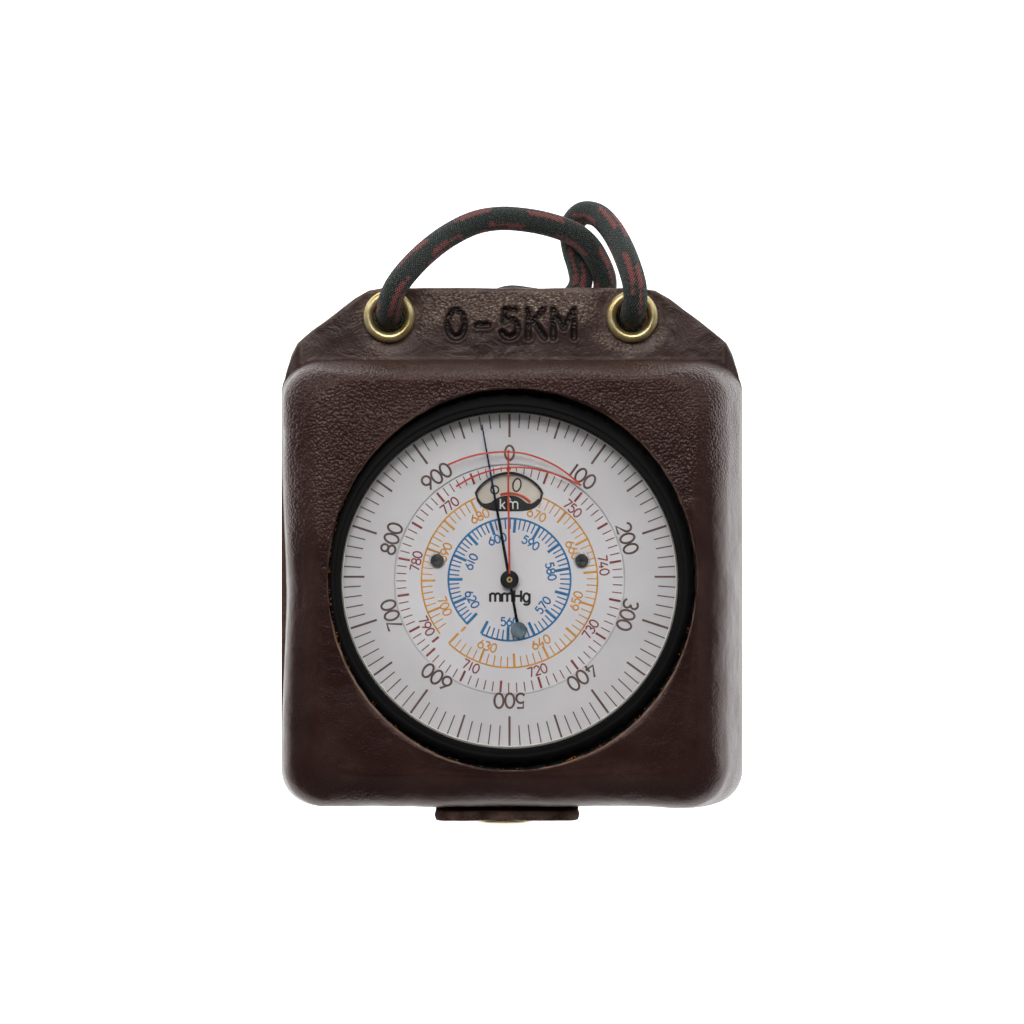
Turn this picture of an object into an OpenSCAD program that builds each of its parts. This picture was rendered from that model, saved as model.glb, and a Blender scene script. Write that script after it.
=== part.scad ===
// Pocket altimeter in a moulded leather case with a carrying cord.
// The dial faces +Z and the lug with the two eyelets points to +Y.
// The origin is on the dial's axis, in the plane that the closed case rests on.

/* [Leather case] */
// Width of the case at its seam
case_w = 84.6; // [80:0.2:90]
// From the housing to the side of the case at its seam
side_w = 7.8; // [7.6:0.1:8.4]
// From the housing to the upper edge of the case at its seam
top_w = 6.3; // [6.3:0.1:8]
// From the housing to the lower edge of the case at its seam
bottom_w = 7; // [6.6:0.1:9]
// How far the case sits to the right of the dial's axis
case_x = 0.45; // [0:0.05:0.5]
// Height of the seam between the front shell and the back flap
seam_z = 9.8; // [9.6:0.1:10.4]
// Thickness of the closed case
case_h = 27; // [25:0.1:29]
// Thickness of the front shell's leather
leather_t = 2.2; // [1.8:0.1:2.4]
// Thickness of the back flap's leather
flap_t = 2; // [1.6:0.1:2]
// Radius of the upper corners at the seam
upper_corner_r = 7; // [6.4:0.1:8]
// Radius of the lower corners at the seam
lower_corner_r = 6.5; // [5:0.1:8]
// How far the sides of the opening lap over the bezel's grips
opening_lap = 0.4; // [0.2:0.1:0.7]
// How much taller than wide the opening is
opening_tall = 2.4; // [0:0.2:2.8]

/* [Lug] */
// How far the lug stands out above the case
lug_h = 12.4; // [12.2:0.1:15]
// How much narrower than the case the lug's top edge is
lug_slope_w = 28.1; // [27.1:0.1:29.1]
// From the upper edge of the case to the eyelets
eyelet_rise = 7.1; // [6.6:0.1:7.6]
// From the end of the lug's top edge to the nearer eyelet
eyelet_inset = 6.05; // [5.75:0.05:6.05]
// Radius of an eyelet's bore
eyelet_r = 3; // [2.9:0.05:3.2]
// Thickness of an eyelet's barrel
eyelet_wall = 0.35; // [0.3:0.05:0.5]
// Outer radius of an eyelet's rolled rim
eyelet_rim_r = 4.6; // [4.3:0.05:4.8]

/* [Closing strap] */
// Width of the strap
strap_w = 26.3; // [20:0.1:32]
// Thickness of the strap
strap_t = 1.9; // [1.7:0.1:2.4]
// From the snap to the strap's free end
strap_over = 5.6; // [5.4:0.1:7]
// Height of the strap's fold above the table
strap_fold_z = 7.2; // [7.1:0.1:7.6]
// Height of the snap on the front shell, as a share of the shell's height
snap_share = 0.28; // [0.26:0.01:0.29]
// Radius of the snap's cap
snap_cap_r = 5.2; // [4.4:0.1:5.4]
// Radius of the snap's stud head
snap_head_r = 1.9; // [1.6:0.05:2]

/* [Instrument] */
// Width of the housing's rim round the bore that the bezel turns in
rim_w = 2.23; // [2.1:0.01:2.5]
// How far the bezel's grips stay inside the edge of the housing
grip_inset = 1.1; // [0.9:0.1:1.4]
// Width of the bezel's step, from the grips to the raised ring
bezel_step_w = 1.4; // [1.3:0.05:1.6]
// Width of the bezel's raised ring
bezel_edge_w = 2; // [1.9:0.1:2.3]
// How far the bezel's top lies below the front of the case
bezel_sink = 0.4; // [0:0.1:0.6]
// Height of the bezel above the rim of the housing
bezel_h = 3.8; // [3.75:0.05:3.9]
// Number of grips round the bezel's flange
bezel_grips = 44; // [36:1:60]
// Radius of the fixed pressure dial
pressure_r = 20.6; // [20:0.1:20.6]
// Thickness of the crystal
crystal_t = 1.2; // [1:0.1:1.4]

/* [Pointer] */
// From the pointer's tip to the edge of the dial
pointer_gap = 1.7; // [1:0.1:6]
// Width of the pointer at its hub
pointer_w = 0.55; // [0.4:0.05:0.8]
// From the dial's axis to the middle of the pointer's counterweight
tail_len = 9.2; // [7:0.1:11]
// Radius of the pointer's counterweight
tail_r = 1.45; // [1:0.05:2]
// Radius of the pointer's hub
hub_r = 1.66; // [1.2:0.02:2]
// Angle of the pointer to the left of the vertical
pointer_angle = 10.1; // [0:0.1:20]

/* [Movement] */
// Module of the train between the sector and the centre
train_module = 0.2; // [0.19:0.005:0.2]
// Module of the kilometre train
km_module = 0.225; // [0.22:0.0025:0.225]
// Teeth of each pinion
pinion_teeth = 12; // [11:1:13]
// Teeth of the transfer wheel
transfer_teeth = 60; // [58:1:62]
// Teeth of the kilometre wheel
km_teeth = 80; // [80:1:83]
// Teeth that the sector would have as a full wheel
sector_full_teeth = 150; // [146:1:154]
// Radius of a pivot
pivot_r = 0.2; // [0.18:0.01:0.22]
// Running clearance of a pivot in its jewel, on the radius
pivot_play = 0.04; // [0.02:0.01:0.06]
// Radius of the aneroid capsules
capsule_r = 18; // [16:0.2:20]
// Thickness of one capsule, as a share of the room under the lifting arm
capsule_share = 0.315; // [0.25:0.005:0.35]
// Length of the arm that the capsules lift
lift_arm = 4; // [3.8:0.1:4.2]
// Length of the arm that drives the sector
drive_arm = 5; // [5:0.05:5.1]

/* [Cord] */
// Diameter of the carrying cord
cord_d = 4.4; // [4:0.1:4.4]

/* [Hidden] */
$fn = 96;

// Colours
leather = "#3f2a27";
brass = "#c9a850";
steel = "#9a9da0";
black = "#1c1c1c";
cream = "#d3d2d4";
cord_green = "#3a4442";
ruby = "#b8324a";

// Gaps between pieces
seam_gap = 0.3;
fold_gap = 0.3;
strap_gap = 0.25;
skin_gap = 0.2;
slip = 0.05;
hair_gap = 0.03;

// Leather shapes: share of the height, then how far the side, top and bottom walls have come in
front_outer = [
    [0, 0, 0, 0],
    [0.093, 0.7, 0.35, 0.3],
    [0.302, 1.9, 0.6, 0.3],
    [0.523, 3.3, 0.9, 0.3],
    [0.709, 4.5, 1.6, 1.1],
    [0.86, 6.2, 3, 2.6],
    [0.953, 8, 4.6, 4.3],
    [1, 9.2, 5.8, 5.5],
];
front_inner = [
    [1, 6.7, 3.7, 4.4],
    [0.967, 5.7, 2.8, 3.3],
    [0.853, 4.8, 1.9, 1.6],
    [0.6, 3.3, 0.9, 0.3],
    [0.347, 1.9, 0.6, 0.3],
    [0.107, 0.7, 0.35, 0.3],
    [0, 0, 0, 0],
];
flap_outer = [
    [0, 6.2, 6.2, 6.2],
    [0.03, 5.2, 5.2, 5.2],
    [0.105, 4, 4, 4],
    [0.263, 2.4, 2.4, 2.4],
    [0.474, 1.2, 1.2, 1.2],
    [0.737, 0.4, 0.4, 0.4],
    [1, 0, 0, 0],
];
flap_inner = [
    [1, 0, 0, 0],
    [0.667, 0.4, 0.4, 0.4],
    [0.333, 1.3, 1.3, 1.3],
    [0.133, 2.7, 2.7, 2.7],
    [0.04, 4, 4, 4],
    [0, 5.2, 5.2, 5.2],
];

// Instrument radii
housing_r = case_w / 2 - side_w;
bezel_bore_r = housing_r - rim_w;
bezel_r = housing_r - grip_inset;
bezel_ring_r = bezel_r - bezel_step_w;
dial_r = bezel_ring_r - bezel_edge_w;

// Case values
case_hw = case_w / 2;
case_top = housing_r + top_w;
case_bottom = housing_r + bottom_w;
opening_w = 2 * (bezel_r - opening_lap);
opening_h = opening_w + opening_tall;
flap_h = seam_z - seam_gap;
front_h = case_h - seam_z;
front_inner_h = front_h - leather_t;
front_corner_r = 8;
ray_steps = [0, 6, 12, 18, 24, 30, 34, 37, 39.5, 42, 44.5, 47, 50, 54, 60, 66, 72, 78, 84];
rays = [for (quarter = [0:3]) each [for (a = ray_steps) a + 90 * quarter]];

// Lug values
lug_t = leather_t;
lug_top_z = seam_z + lug_t;
backing_t = 2.2;
backing_z = seam_z - backing_t;
fold_r = flap_t / 2;
fold_y = case_top - 1.5;
fold_wall_t = 2;
fold_wall_w = case_w - 13.2;
lug_top = case_top + lug_h;
lug_top_w = case_w - lug_slope_w;
shoulder_x = case_hw - 3.3;
shoulder_y = case_top + 2;
lug_side_y = case_top - 8.3;
lug_root = 1.6;
lug_side_root = 6.3;
eyelet_y = case_top + eyelet_rise;
eyelet_gap = lug_top_w - 2 * eyelet_inset;
eyelet_x = 0.2;
eyelet_xs = [eyelet_x - eyelet_gap / 2, eyelet_x + eyelet_gap / 2];
eyelet_barrel_r = eyelet_r + eyelet_wall;
eyelet_hole_r = eyelet_barrel_r + slip;
washer_r = 5;
washer_t = 0.6;
clinch_r = 4.3;
clinch_t = 0.4;
eyelet_foot_z = backing_z - washer_t - clinch_t;

// Strap values
strap_x = case_x - 0.9;
strap_inner = case_bottom + strap_gap;
strap_outer = strap_inner + strap_t;
strap_fold_r = strap_t / 2;
strap_fold_y = strap_inner + strap_fold_r;
wall_y = case_bottom - 0.3;
snap_x = strap_x - 0.55;
snap_z = seam_z + snap_share * front_h;
strap_top = snap_z + strap_over;
socket_r = 3.6;
socket_bore_r = snap_head_r + 0.4;
stud_flange_r = 2.6;
stud_flange_t = 0.25;
stud_neck = 0.4;
stud_short = 0.6;
rivet_r = 1;
rivet_head_t = 0.4;

// Levels of the instrument, above the table
cover_z = flap_t + skin_gap;
cover_t = 1;
lip_t = 1.2;
housing_wall = 1.3;
bezel_top = case_h - bezel_sink;
housing_top = bezel_top - bezel_h;
dial_z = housing_top - 1;
dial_t = 0.4;
ring_z = dial_z + 0.2;
ring_t = 0.4;
plate_t = 1.2;
plate_z = dial_z - 8.8;
bridge_z = plate_z + 6;
bridge_t = 0.8;
glass_z = bezel_top - 1 - crystal_t;
flange_z = housing_top + skin_gap;
flange_t = 1;
skirt_r = bezel_bore_r - 0.07;
skirt_bore_r = skirt_r - 1.05;
glass_r = skirt_bore_r - slip;
groove_z = housing_top - 1.5;
groove_t = 0.6;
ring_inner_r = pressure_r + skin_gap;
cover_r = housing_r - 3.3;
cover_screw_r = cover_r - 1.5;
cover_screw_angles = [90, 210, 330];
plate_r = housing_r - housing_wall - slip;
plate_screw_r = plate_r - 1.6;
plate_screw_angles = [30, 150, 270];
ledge_r = housing_r - 4.5;
pointer_len = dial_r - pointer_gap;

// Movement layout
centre = [0, 0];
transfer_at = [0, -train_module * (pinion_teeth + transfer_teeth) / 2];
sector_reach = train_module * (pinion_teeth + sector_full_teeth) / 2;
sector_x = lift_arm;
sector_at = [sector_x, transfer_at.y - sqrt(sector_reach * sector_reach - sector_x * sector_x)];
sector_line = atan2(transfer_at.y - sector_at.y, transfer_at.x - sector_at.x);
km_at = [0, km_module * (pinion_teeth + km_teeth) / 2];
half_swing = 13.76;
arbor_r = 0.5;
staff_r = 0.4;
shaft_z = plate_z - 1.8;
shaft_r = 0.7;
shaft_front_y = sector_at.y + 1.4;
shaft_back_y = 3;
pinion_h = 1;
wheel_t = 0.5;
sector_z = plate_z + 3.6;
transfer_wheel_z = sector_z + 1;
transfer_pinion_z = sector_z - 0.2;
centre_pinion_z = transfer_wheel_z - 0.2;
km_wheel_z = bridge_z + bridge_t + 0.6;
km_pinion_z = km_wheel_z - 0.3;
km_disc_t = 0.3;
km_disc_z = dial_z - 0.3 - km_disc_t;
km_disc_r = km_at.y - 0.95;
pin_r = 0.25;
pin_drop = 0.8;
fork_gap = 0.9;
fork_wall = 0.4;
fork_foot = 0.6;
pivot_bore_r = pivot_r + pivot_play;
jewel_r = 0.8;
jewel_t = 0.4;
pivot_at = [centre, transfer_at, sector_at];
yoke_z = cover_z + cover_t + 0.2;
yoke_t = 1;
yoke_bar_t = 0.8;
yoke_w = 8;
yoke_x = plate_r - 8.15;
yoke_pillar_r = 2;
capsule_z = yoke_z + yoke_t;
capsule_neck = 0.4;
capsule_neck_r = 3;
lift_tip_r = 0.35;
lift_tip_z = shaft_z - lift_arm * sin(half_swing);
link_top = lift_tip_z - lift_tip_r - hair_gap;
capsule_t = capsule_share * (link_top - capsule_z - capsule_neck);
capsule_top = capsule_z + 2 * capsule_t + capsule_neck;
plate_hole_r = 4.5;
plate_hole_at = plate_r - 11.15;
bridge_pillars_at = [[-14, -13], [15, -13], [0, 22.3]];
dial_screw_x = 13;
dial_screw_y = 3.4;
dial_screws_at = [[-dial_screw_x, dial_screw_y], [dial_screw_x, dial_screw_y]];
screw_r = 0.6;
screw_head_r = 1.2;
screw_head_t = 0.45;
screw_slot_w = 0.3;
screw_bite = 2;
dial_pillar_r = 1.5;
bridge_pillar_r = 1.6;
hair_turns = 5;
hair_inner_r = 1.3;
hair_pitch = 0.62;
hair_w = 0.14;
hair_z = plate_z + 2;
hair_h = 0.4;

// Window in the pressure dial: an oval, pointed at its ends and flat below
window_hw = 6.15;
window_mid = 15.5;
window_up = 3.75;
window_down = 3.1;

// Red index: its line, and two arcs as shares of the dial's radius
index_t = 0.1;
index_w = 0.36;
index_upper = [[-0.37, 0.687], [-0.18, 0.75], [0, 0.763], [0.1, 0.752], [0.213, 0.713], [0.32, 0.653],
    [0.43, 0.563]];
index_lower = [[-0.32, 0.557], [-0.173, 0.633], [0, 0.67], [0.1, 0.67], [0.207, 0.65], [0.32, 0.613],
    [0.43, 0.563]];

// The cord's route from the left eyelet to the right one, chosen by hand for eyelets 44.4 mm apart
// and measured from the middle between them
knot_top = 6.5;
route_gap = 44.4;
cord_route = [
    [-22.2, 0, 6.5], [-22.2, 0, 9], [-22.2, 0.2, 12], [-22.2, 0.9, 15], [-21.8, 2.7, 17.4],
    [-20.6, 5.3, 18], [-18.4, 8.3, 16.8], [-15.2, 11.7, 14.4], [-11.2, 14.9, 11.8],
    [-6.6, 17.3, 9.8], [-2, 18.2, 8.6], [2.6, 18, 7.8], [7, 17.2, 7.2], [11.3, 15.7, 6.9],
    [14.2, 13.5, 6.2], [16.1, 10.7, 4.8], [17.4, 7.5, 3.2], [17.2, 4.5, 2.4], [15.4, 1.3, 2.3],
    [12.2, -1.5, 2.3], [7.8, -3.5, 2.3], [2.8, -4.3, 2.3], [-2, -3.5, 2.3], [-4.6, -0.7, 2.3],
    [-3.8, 2.5, 2.3], [-0.4, 4.1, 2.3], [4, 3.7, 2.3], [8.2, 3.1, 2.3], [11.4, 4.1, 2.3],
    [13, 6.7, 2.3], [12.7, 9.5, 2.3], [11.8, 12.5, 2.3], [11.3, 15.5, 2.3], [11.6, 17.9, 2.4],
    [13.4, 19.6, 3.2], [16, 19.1, 5], [18.2, 16.7, 8], [20, 13.3, 11.6], [21.4, 9.5, 15.2],
    [22.4, 5.7, 17.6], [22.6, 2.7, 17.6], [22.3, 0.9, 15.4], [22.2, 0.2, 12.2], [22.2, 0, 9],
    [22.2, 0, 6.5],
];
cord_line = [for (p = cord_route) [eyelet_x + p.x * eyelet_gap / route_gap, eyelet_y + p.y, p.z]];
cord_sides = 10;

function shaft_x() = sector_x;
function unit(v) = v / norm(v);
function mean(p, i = 0) = i == len(p) ? [0, 0, 0] : p[i] / len(p) + mean(p, i + 1);

// Distance from the middle of a rounded rectangle to its edge, along a ray
function reach(a, hx, hy, r) =
    let (c = abs(cos(a)), s = abs(sin(a)), cx = hx - r, cy = hy - r, d = cx * c + cy * s)
    s * hx <= c * cy ? hx / c :
    c * hy <= s * cx ? hy / s :
    d + sqrt(d * d - cx * cx - cy * cy + r * r);

// One level of the case, as points on the rays
function case_ring(side, top, bottom, r_top, r_bottom, z) = [
    for (a = rays)
        let (up = sin(a) >= 0)
        let (d = reach(a, side, up ? top : bottom, up ? r_top : r_bottom))
        [case_x + d * cos(a), d * sin(a), z]
];

// The levels of one wall of leather, drawn in by the rows of its shape
function wall_rings(rows, base_z, height, thick) = [
    for (row = rows)
        let (blend = row[0] * (front_corner_r - lower_corner_r))
        case_ring(case_hw - thick - row[1], case_top - thick - row[2],
                  case_bottom - thick - row[3], upper_corner_r - thick / 2,
                  lower_corner_r - thick / 2 + blend, base_z + row[0] * height)
];

// The edge of the opening over the dial, on the same rays
function opening_ring(z) = [
    for (a = rays)
        let (hw = opening_w / 2, hh = opening_h / 2)
        let (d = hw * hh / sqrt(pow(hh * cos(a), 2) + pow(hw * sin(a), 2)))
        [case_x + d * cos(a), d * sin(a), z]
];

// Corners [x, y, radius] as an outline with round corners
function rounded(corners, steps = 6) = [
    for (i = [0:len(corners) - 1])
        let (n = len(corners), c = corners[i], here = [c[0], c[1]])
        let (before = corners[(i + n - 1) % n], after = corners[(i + 1) % n])
        let (u = unit([before[0], before[1]] - here), v = unit([after[0], after[1]] - here))
        let (half = acos(u * v) / 2, back = c[2] / tan(half))
        let (mid = here + unit(u + v) * c[2] / sin(half))
        let (start = here + u * back - mid, turn = sign(cross(-u, v)) * (180 - 2 * half))
        each [
            for (k = [0:steps])
                let (a = turn * k / steps)
                mid + [start.x * cos(a) - start.y * sin(a), start.x * sin(a) + start.y * cos(a)]
        ]
];

// Points along an arc
function arc(r, from, to, steps) =
    [for (k = [0:steps]) let (a = from + (to - from) * k / steps) r * [cos(a), sin(a)]];

// Angle between the start of an involute and its point at a radius
function involute(r, base_r) =
    r <= base_r ? 0 : let (a = acos(base_r / r)) tan(a) * 180 / PI - a;

// Flanks of one tooth with its middle at an angle
function tooth(teeth, m, at) =
    let (pitch_r = teeth * m / 2, base_r = pitch_r * cos(20))
    let (root_r = pitch_r - 1.15 * m, tip_r = pitch_r + 0.85 * m)
    let (half = 90 / teeth - 2.4 / pitch_r * m * 2)
    let (wide = half + involute(pitch_r, base_r))
    let (radii = [root_r, max(base_r, root_r + 0.2 * m), pitch_r, tip_r])
    concat(
        [for (k = [0:3]) let (a = at - wide + involute(radii[k], base_r)) radii[k] * [cos(a), sin(a)]],
        [for (k = [3:-1:0]) let (a = at + wide - involute(radii[k], base_r)) radii[k] * [cos(a), sin(a)]]
    );

// Outline of a whole gear with a tooth at an angle
function gear_outline(teeth, m, at) = [for (k = [0:teeth - 1]) each tooth(teeth, m, at + 360 * k / teeth)];

// A smooth line through points
function smooth(p, steps) = [
    for (i = [0:len(p) - 2])
        let (a = p[max(i - 1, 0)], b = p[i], c = p[i + 1], d = p[min(i + 2, len(p) - 1)])
        for (k = [0:steps - 1])
            let (t = k / steps)
            0.5 * (2 * b + (c - a) * t + (2 * a - 5 * b + 4 * c - d) * t * t
                   + (3 * b - a - 3 * c + d) * t * t * t),
    p[len(p) - 1],
];

// Outline of a strip of one width along a flat line
function strip(p, w) =
    let (last = len(p) - 1)
    let (side = [
        for (i = [0:last])
            let (d = unit(p[min(i + 1, last)] - p[max(i - 1, 0)]))
            w / 2 * [-d.y, d.x]
    ])
    concat([for (i = [0:last]) p[i] - side[i]], [for (i = [last:-1:0]) p[i] + side[i]]);

// Rings of a round tube along a line, each turned as little as the one before allows
function tube_rings(line, r, sides) =
    let (last = len(line) - 1)
    let (along = [for (i = [0:last]) unit(line[min(i + 1, last)] - line[max(i - 1, 0)])])
    let (side = [
        for (i = 0, n = [1, 0, 0]; i <= last; i = i + 1,
             n = i <= last ? unit(n - along[i] * (n * along[i])) : n) n
    ])
    [
        for (i = [0:last])
            let (u = unit(side[i] - along[i] * (side[i] * along[i])), v = cross(along[i], u))
            [for (k = [0:sides - 1]) line[i] + r * (u * cos(360 * k / sides) + v * sin(360 * k / sides))]
    ];

// Surface through rings of points: with flat ends, or closed on itself
module loft(rings, closed = false) {
    n = len(rings[0]);
    m = len(rings);
    spans = closed ? m : m - 1;
    sides = [
        for (i = [0:spans - 1], j = [0:n - 1])
            let (a = i * n + j, b = i * n + (j + 1) % n)
            let (c = ((i + 1) % m) * n + j, d = ((i + 1) % m) * n + (j + 1) % n)
            each [[a, c, d], [a, d, b]]
    ];
    top = (m - 1) * n;
    ends = closed ? [] : [
        for (j = [0:n - 1])
            let (next = (j + 1) % n)
            each [[m * n, j, next], [m * n + 1, top + next, top + j]]
    ];
    middles = closed ? [] : [mean(rings[0]), mean(rings[m - 1])];
    polyhedron(concat([for (r = rings) each r], middles), concat(sides, ends));
}

// Round bar along X
module bar_x(r, length) {
    rotate([0, 90, 0]) cylinder(r = r, h = length, center = true);
}

// Round bar along Y, from y0 to y1
module bar_y(r, y0, y1) {
    translate([0, y1, 0]) rotate([90, 0, 0]) cylinder(r = r, h = y1 - y0);
}

// Ring with a square section
module ring(outer_r, inner_r, z, t) {
    translate([0, 0, z]) rotate_extrude() translate([inner_r, 0]) square([outer_r - inner_r, t]);
}

// Slotted screw with its head's seat at z
module screw(at, z, length) {
    translate([at.x, at.y, z]) {
        difference() {
            cylinder(r = screw_head_r, h = screw_head_t);
            translate([-screw_head_r - 1, -screw_slot_w / 2, screw_head_t / 2])
                cube([2 * screw_head_r + 2, screw_slot_w, 1]);
        }
        translate([0, 0, -length]) cylinder(r = screw_r, h = length);
    }
}

// Outline of the lug, down into the wall of the front shell
module lug_outline(low) {
    half = [
        [lug_top_w / 2, lug_top, 8],
        [shoulder_x, shoulder_y, 4.5],
        [case_hw, lug_side_y, 12],
        [case_hw, low, 0.5],
    ];
    left = [for (i = [len(half) - 1:-1:0]) [-half[i][0], half[i][1], half[i][2]]];
    translate([case_x, 0]) polygon(rounded(concat(half, left)));
}

module case_shell() {
    rings = concat(
        wall_rings(front_outer, seam_z, front_h, 0),
        [opening_ring(case_h)],
        [opening_ring(case_h - leather_t)],
        wall_rings(front_inner, seam_z, front_inner_h, leather_t)
    );
    color(leather) difference() {
        union() {
            loft(rings, closed = true);
            translate([0, 0, seam_z]) linear_extrude(lug_t) difference() {
                lug_outline(lug_side_y - 4);
                translate([case_x, 0]) polygon([
                    [-case_hw - 2, lug_side_y - 6], [case_hw + 2, lug_side_y - 6],
                    [case_hw + 2, case_top - lug_side_root], [case_hw - 1.7, case_top - lug_side_root],
                    [case_hw - 4.3, case_top - lug_root], [4.3 - case_hw, case_top - lug_root],
                    [1.7 - case_hw, case_top - lug_side_root], [-case_hw - 2, case_top - lug_side_root],
                ]);
            }
        }
        for (x = eyelet_xs) translate([x, eyelet_y, seam_z - 1]) cylinder(r = eyelet_hole_r, h = lug_t + 2);
        translate([snap_x, 0, snap_z]) bar_y(rivet_r + slip, -case_bottom - 1, leather_t + 1 - wall_y);
    }
}

module lug_backing() {
    color(leather) {
        difference() {
            translate([0, 0, backing_z]) linear_extrude(backing_t) intersection() {
                lug_outline(lug_side_y - 4);
                translate([-case_w, fold_y - 1]) square([2 * case_w, lug_top]);
                translate([case_x - fold_wall_w / 2, fold_y - 1]) square([fold_wall_w, lug_top]);
            }
            for (x = eyelet_xs) translate([x, eyelet_y, backing_z - 1])
                cylinder(r = eyelet_hole_r, h = backing_t + 2);
        }
        translate([case_x - fold_wall_w / 2, fold_y - 1, flap_t + fold_gap])
            cube([fold_wall_w, fold_wall_t, backing_z - flap_t - fold_gap]);
    }
}

module back_flap() {
    rings = concat(
        wall_rings(flap_outer, 0, flap_h, 0),
        wall_rings(flap_inner, flap_t, flap_h - flap_t, flap_t)
    );
    tongue_w = fold_wall_w + 0.6;
    color(leather) {
        difference() {
            loft(rings);
            translate([case_x - tongue_w / 2, case_top - 8, -1]) cube([tongue_w, 20, seam_z + 2]);
        }
        translate([case_x - fold_wall_w / 2, case_top - 8.4, 0])
            cube([fold_wall_w, fold_y - case_top + 8.4, flap_t]);
        translate([case_x, fold_y, fold_r]) bar_x(fold_r, fold_wall_w);
        translate([strap_x, 0, 0]) rotate([90, 0, 90]) linear_extrude(strap_w, center = true) polygon([
            [2.3 - case_bottom, strap_fold_z - strap_fold_r - fold_gap],
            [-strap_outer, strap_fold_z - strap_fold_r - fold_gap],
            [-strap_outer, 4.6], [0.6 - strap_outer, 3.3], [2.4 - strap_outer, 2.4],
            [2.9 - case_bottom, 2.8],
        ]);
    }
}

module closing_strap() {
    hw = strap_w / 2;
    color(leather) difference() {
        union() {
            translate([strap_x, -strap_inner, 0]) rotate([90, 0, 0]) linear_extrude(strap_t)
                polygon(rounded([
                    [-hw, strap_fold_z, 0.01], [hw, strap_fold_z, 0.01],
                    [hw, strap_top, 2.5], [-hw, strap_top, 2.5],
                ]));
            translate([strap_x, -strap_fold_y, strap_fold_z]) bar_x(strap_fold_r - hair_gap, strap_w);
        }
        translate([snap_x, 0, snap_z]) bar_y(socket_r + slip, -strap_outer - 1, 1 - strap_inner);
    }
}

module eyelet(x) {
    rim = (eyelet_rim_r - eyelet_r) / 2;
    color(brass) translate([x, eyelet_y, 0]) rotate_extrude() {
        translate([eyelet_r, eyelet_foot_z]) square([eyelet_wall, lug_top_z + 0.5 - eyelet_foot_z]);
        intersection() {
            translate([eyelet_r + rim, lug_top_z + 0.35]) circle(r = rim);
            translate([eyelet_r, lug_top_z]) square([3, 3]);
        }
        translate([eyelet_r, eyelet_foot_z]) square([clinch_r - eyelet_r, clinch_t]);
    }
}

module left_eyelet() {
    eyelet(eyelet_xs[0]);
}

module right_eyelet() {
    eyelet(eyelet_xs[1]);
}

module eyelet_washers() {
    color(steel) for (x = eyelet_xs)
        translate([x, eyelet_y, 0]) ring(washer_r, eyelet_hole_r, backing_z - washer_t, washer_t);
}

module snap_cap() {
    color(brass) translate([snap_x, -strap_outer, snap_z]) rotate([90, 0, 0]) rotate_extrude()
        polygon([[0, 0], [snap_cap_r - 0.35, 0], [snap_cap_r, 0.15], [snap_cap_r, 0.4],
                 [snap_cap_r - 0.5, 0.7], [snap_cap_r - 1.8, 0.9], [2, 1], [0, 1.02]]);
}

module snap_socket() {
    color(brass) translate([snap_x, -strap_outer, snap_z]) rotate([-90, 0, 0])
        ring(socket_r, socket_bore_r, 0, strap_t - 0.1);
}

module snap_stud() {
    reach_y = strap_outer - wall_y;
    color(brass) translate([snap_x, -wall_y, snap_z]) rotate([90, 0, 0]) rotate_extrude()
        polygon([[0, 0], [stud_flange_r, 0], [stud_flange_r, stud_flange_t],
                 [snap_head_r - stud_neck, stud_flange_t], [snap_head_r - stud_neck, reach_y - 1.3],
                 [snap_head_r, reach_y - 1.1], [snap_head_r, reach_y - 0.8],
                 [snap_head_r - 0.3, reach_y - stud_short], [0, reach_y - stud_short]]);
}

module snap_rivet() {
    color(brass) translate([snap_x, 0, snap_z]) {
        bar_y(rivet_r, -wall_y, leather_t - wall_y + 0.1);
        bar_y(stud_flange_r, leather_t - wall_y, leather_t - wall_y + rivet_head_t);
    }
}

module lanyard() {
    color(cord_green) loft(tube_rings(smooth(cord_line, 2), cord_d / 2, cord_sides));
}

module knot(at) {
    wrap_r = cord_d / 2 - 0.1;
    color(cord_green) translate([at.x, at.y, 0]) rotate_extrude() {
        translate([wrap_r + 0.1, knot_top - wrap_r - 0.05]) circle(r = wrap_r);
        translate([wrap_r + 0.1, knot_top - wrap_r - 1.4]) circle(r = wrap_r);
        translate([0, knot_top - 2 * wrap_r - 1.35]) square([wrap_r + 0.1, 2 * wrap_r + 1.35]);
    }
}

module left_knot() {
    knot(cord_line[0]);
}

module right_knot() {
    knot(cord_line[len(cord_line) - 1]);
}

module housing() {
    inner_r = housing_r - housing_wall;
    lip_z = cover_z + cover_t;
    heel = concat([[cover_r + 0.1, cover_z]],
                  [for (p = arc(3, -80, 0, 8)) [housing_r - 3 + p.x, cover_z + 3 + p.y]]);
    lip_inner_r = cover_r - 2.8;
    ledge_t = 1;
    color(black) difference() {
        rotate_extrude() polygon(concat(heel, [
            [housing_r, housing_top], [bezel_bore_r, housing_top],
            [bezel_bore_r, groove_z + groove_t], [bezel_bore_r + 0.43, groove_z + groove_t],
            [bezel_bore_r + 0.43, groove_z], [bezel_bore_r, groove_z],
            [bezel_bore_r, groove_z - 0.9], [inner_r, groove_z - 0.9 - inner_r + bezel_bore_r],
            [inner_r, plate_z], [ledge_r, plate_z], [ledge_r, plate_z - ledge_t],
            [inner_r, plate_z - ledge_t - 1.6], [inner_r, lip_z + lip_t],
            [lip_inner_r, lip_z + lip_t], [lip_inner_r, lip_z], [cover_r + 0.1, lip_z],
        ]));
        for (a = cover_screw_angles) rotate(a) translate([cover_screw_r, 0, lip_z - 1])
            cylinder(r = screw_r + slip, h = lip_t + 2);
        for (a = plate_screw_angles) rotate(a) translate([plate_screw_r, 0, plate_z - 3])
            cylinder(r = screw_r + slip, h = 4);
    }
}

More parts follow.
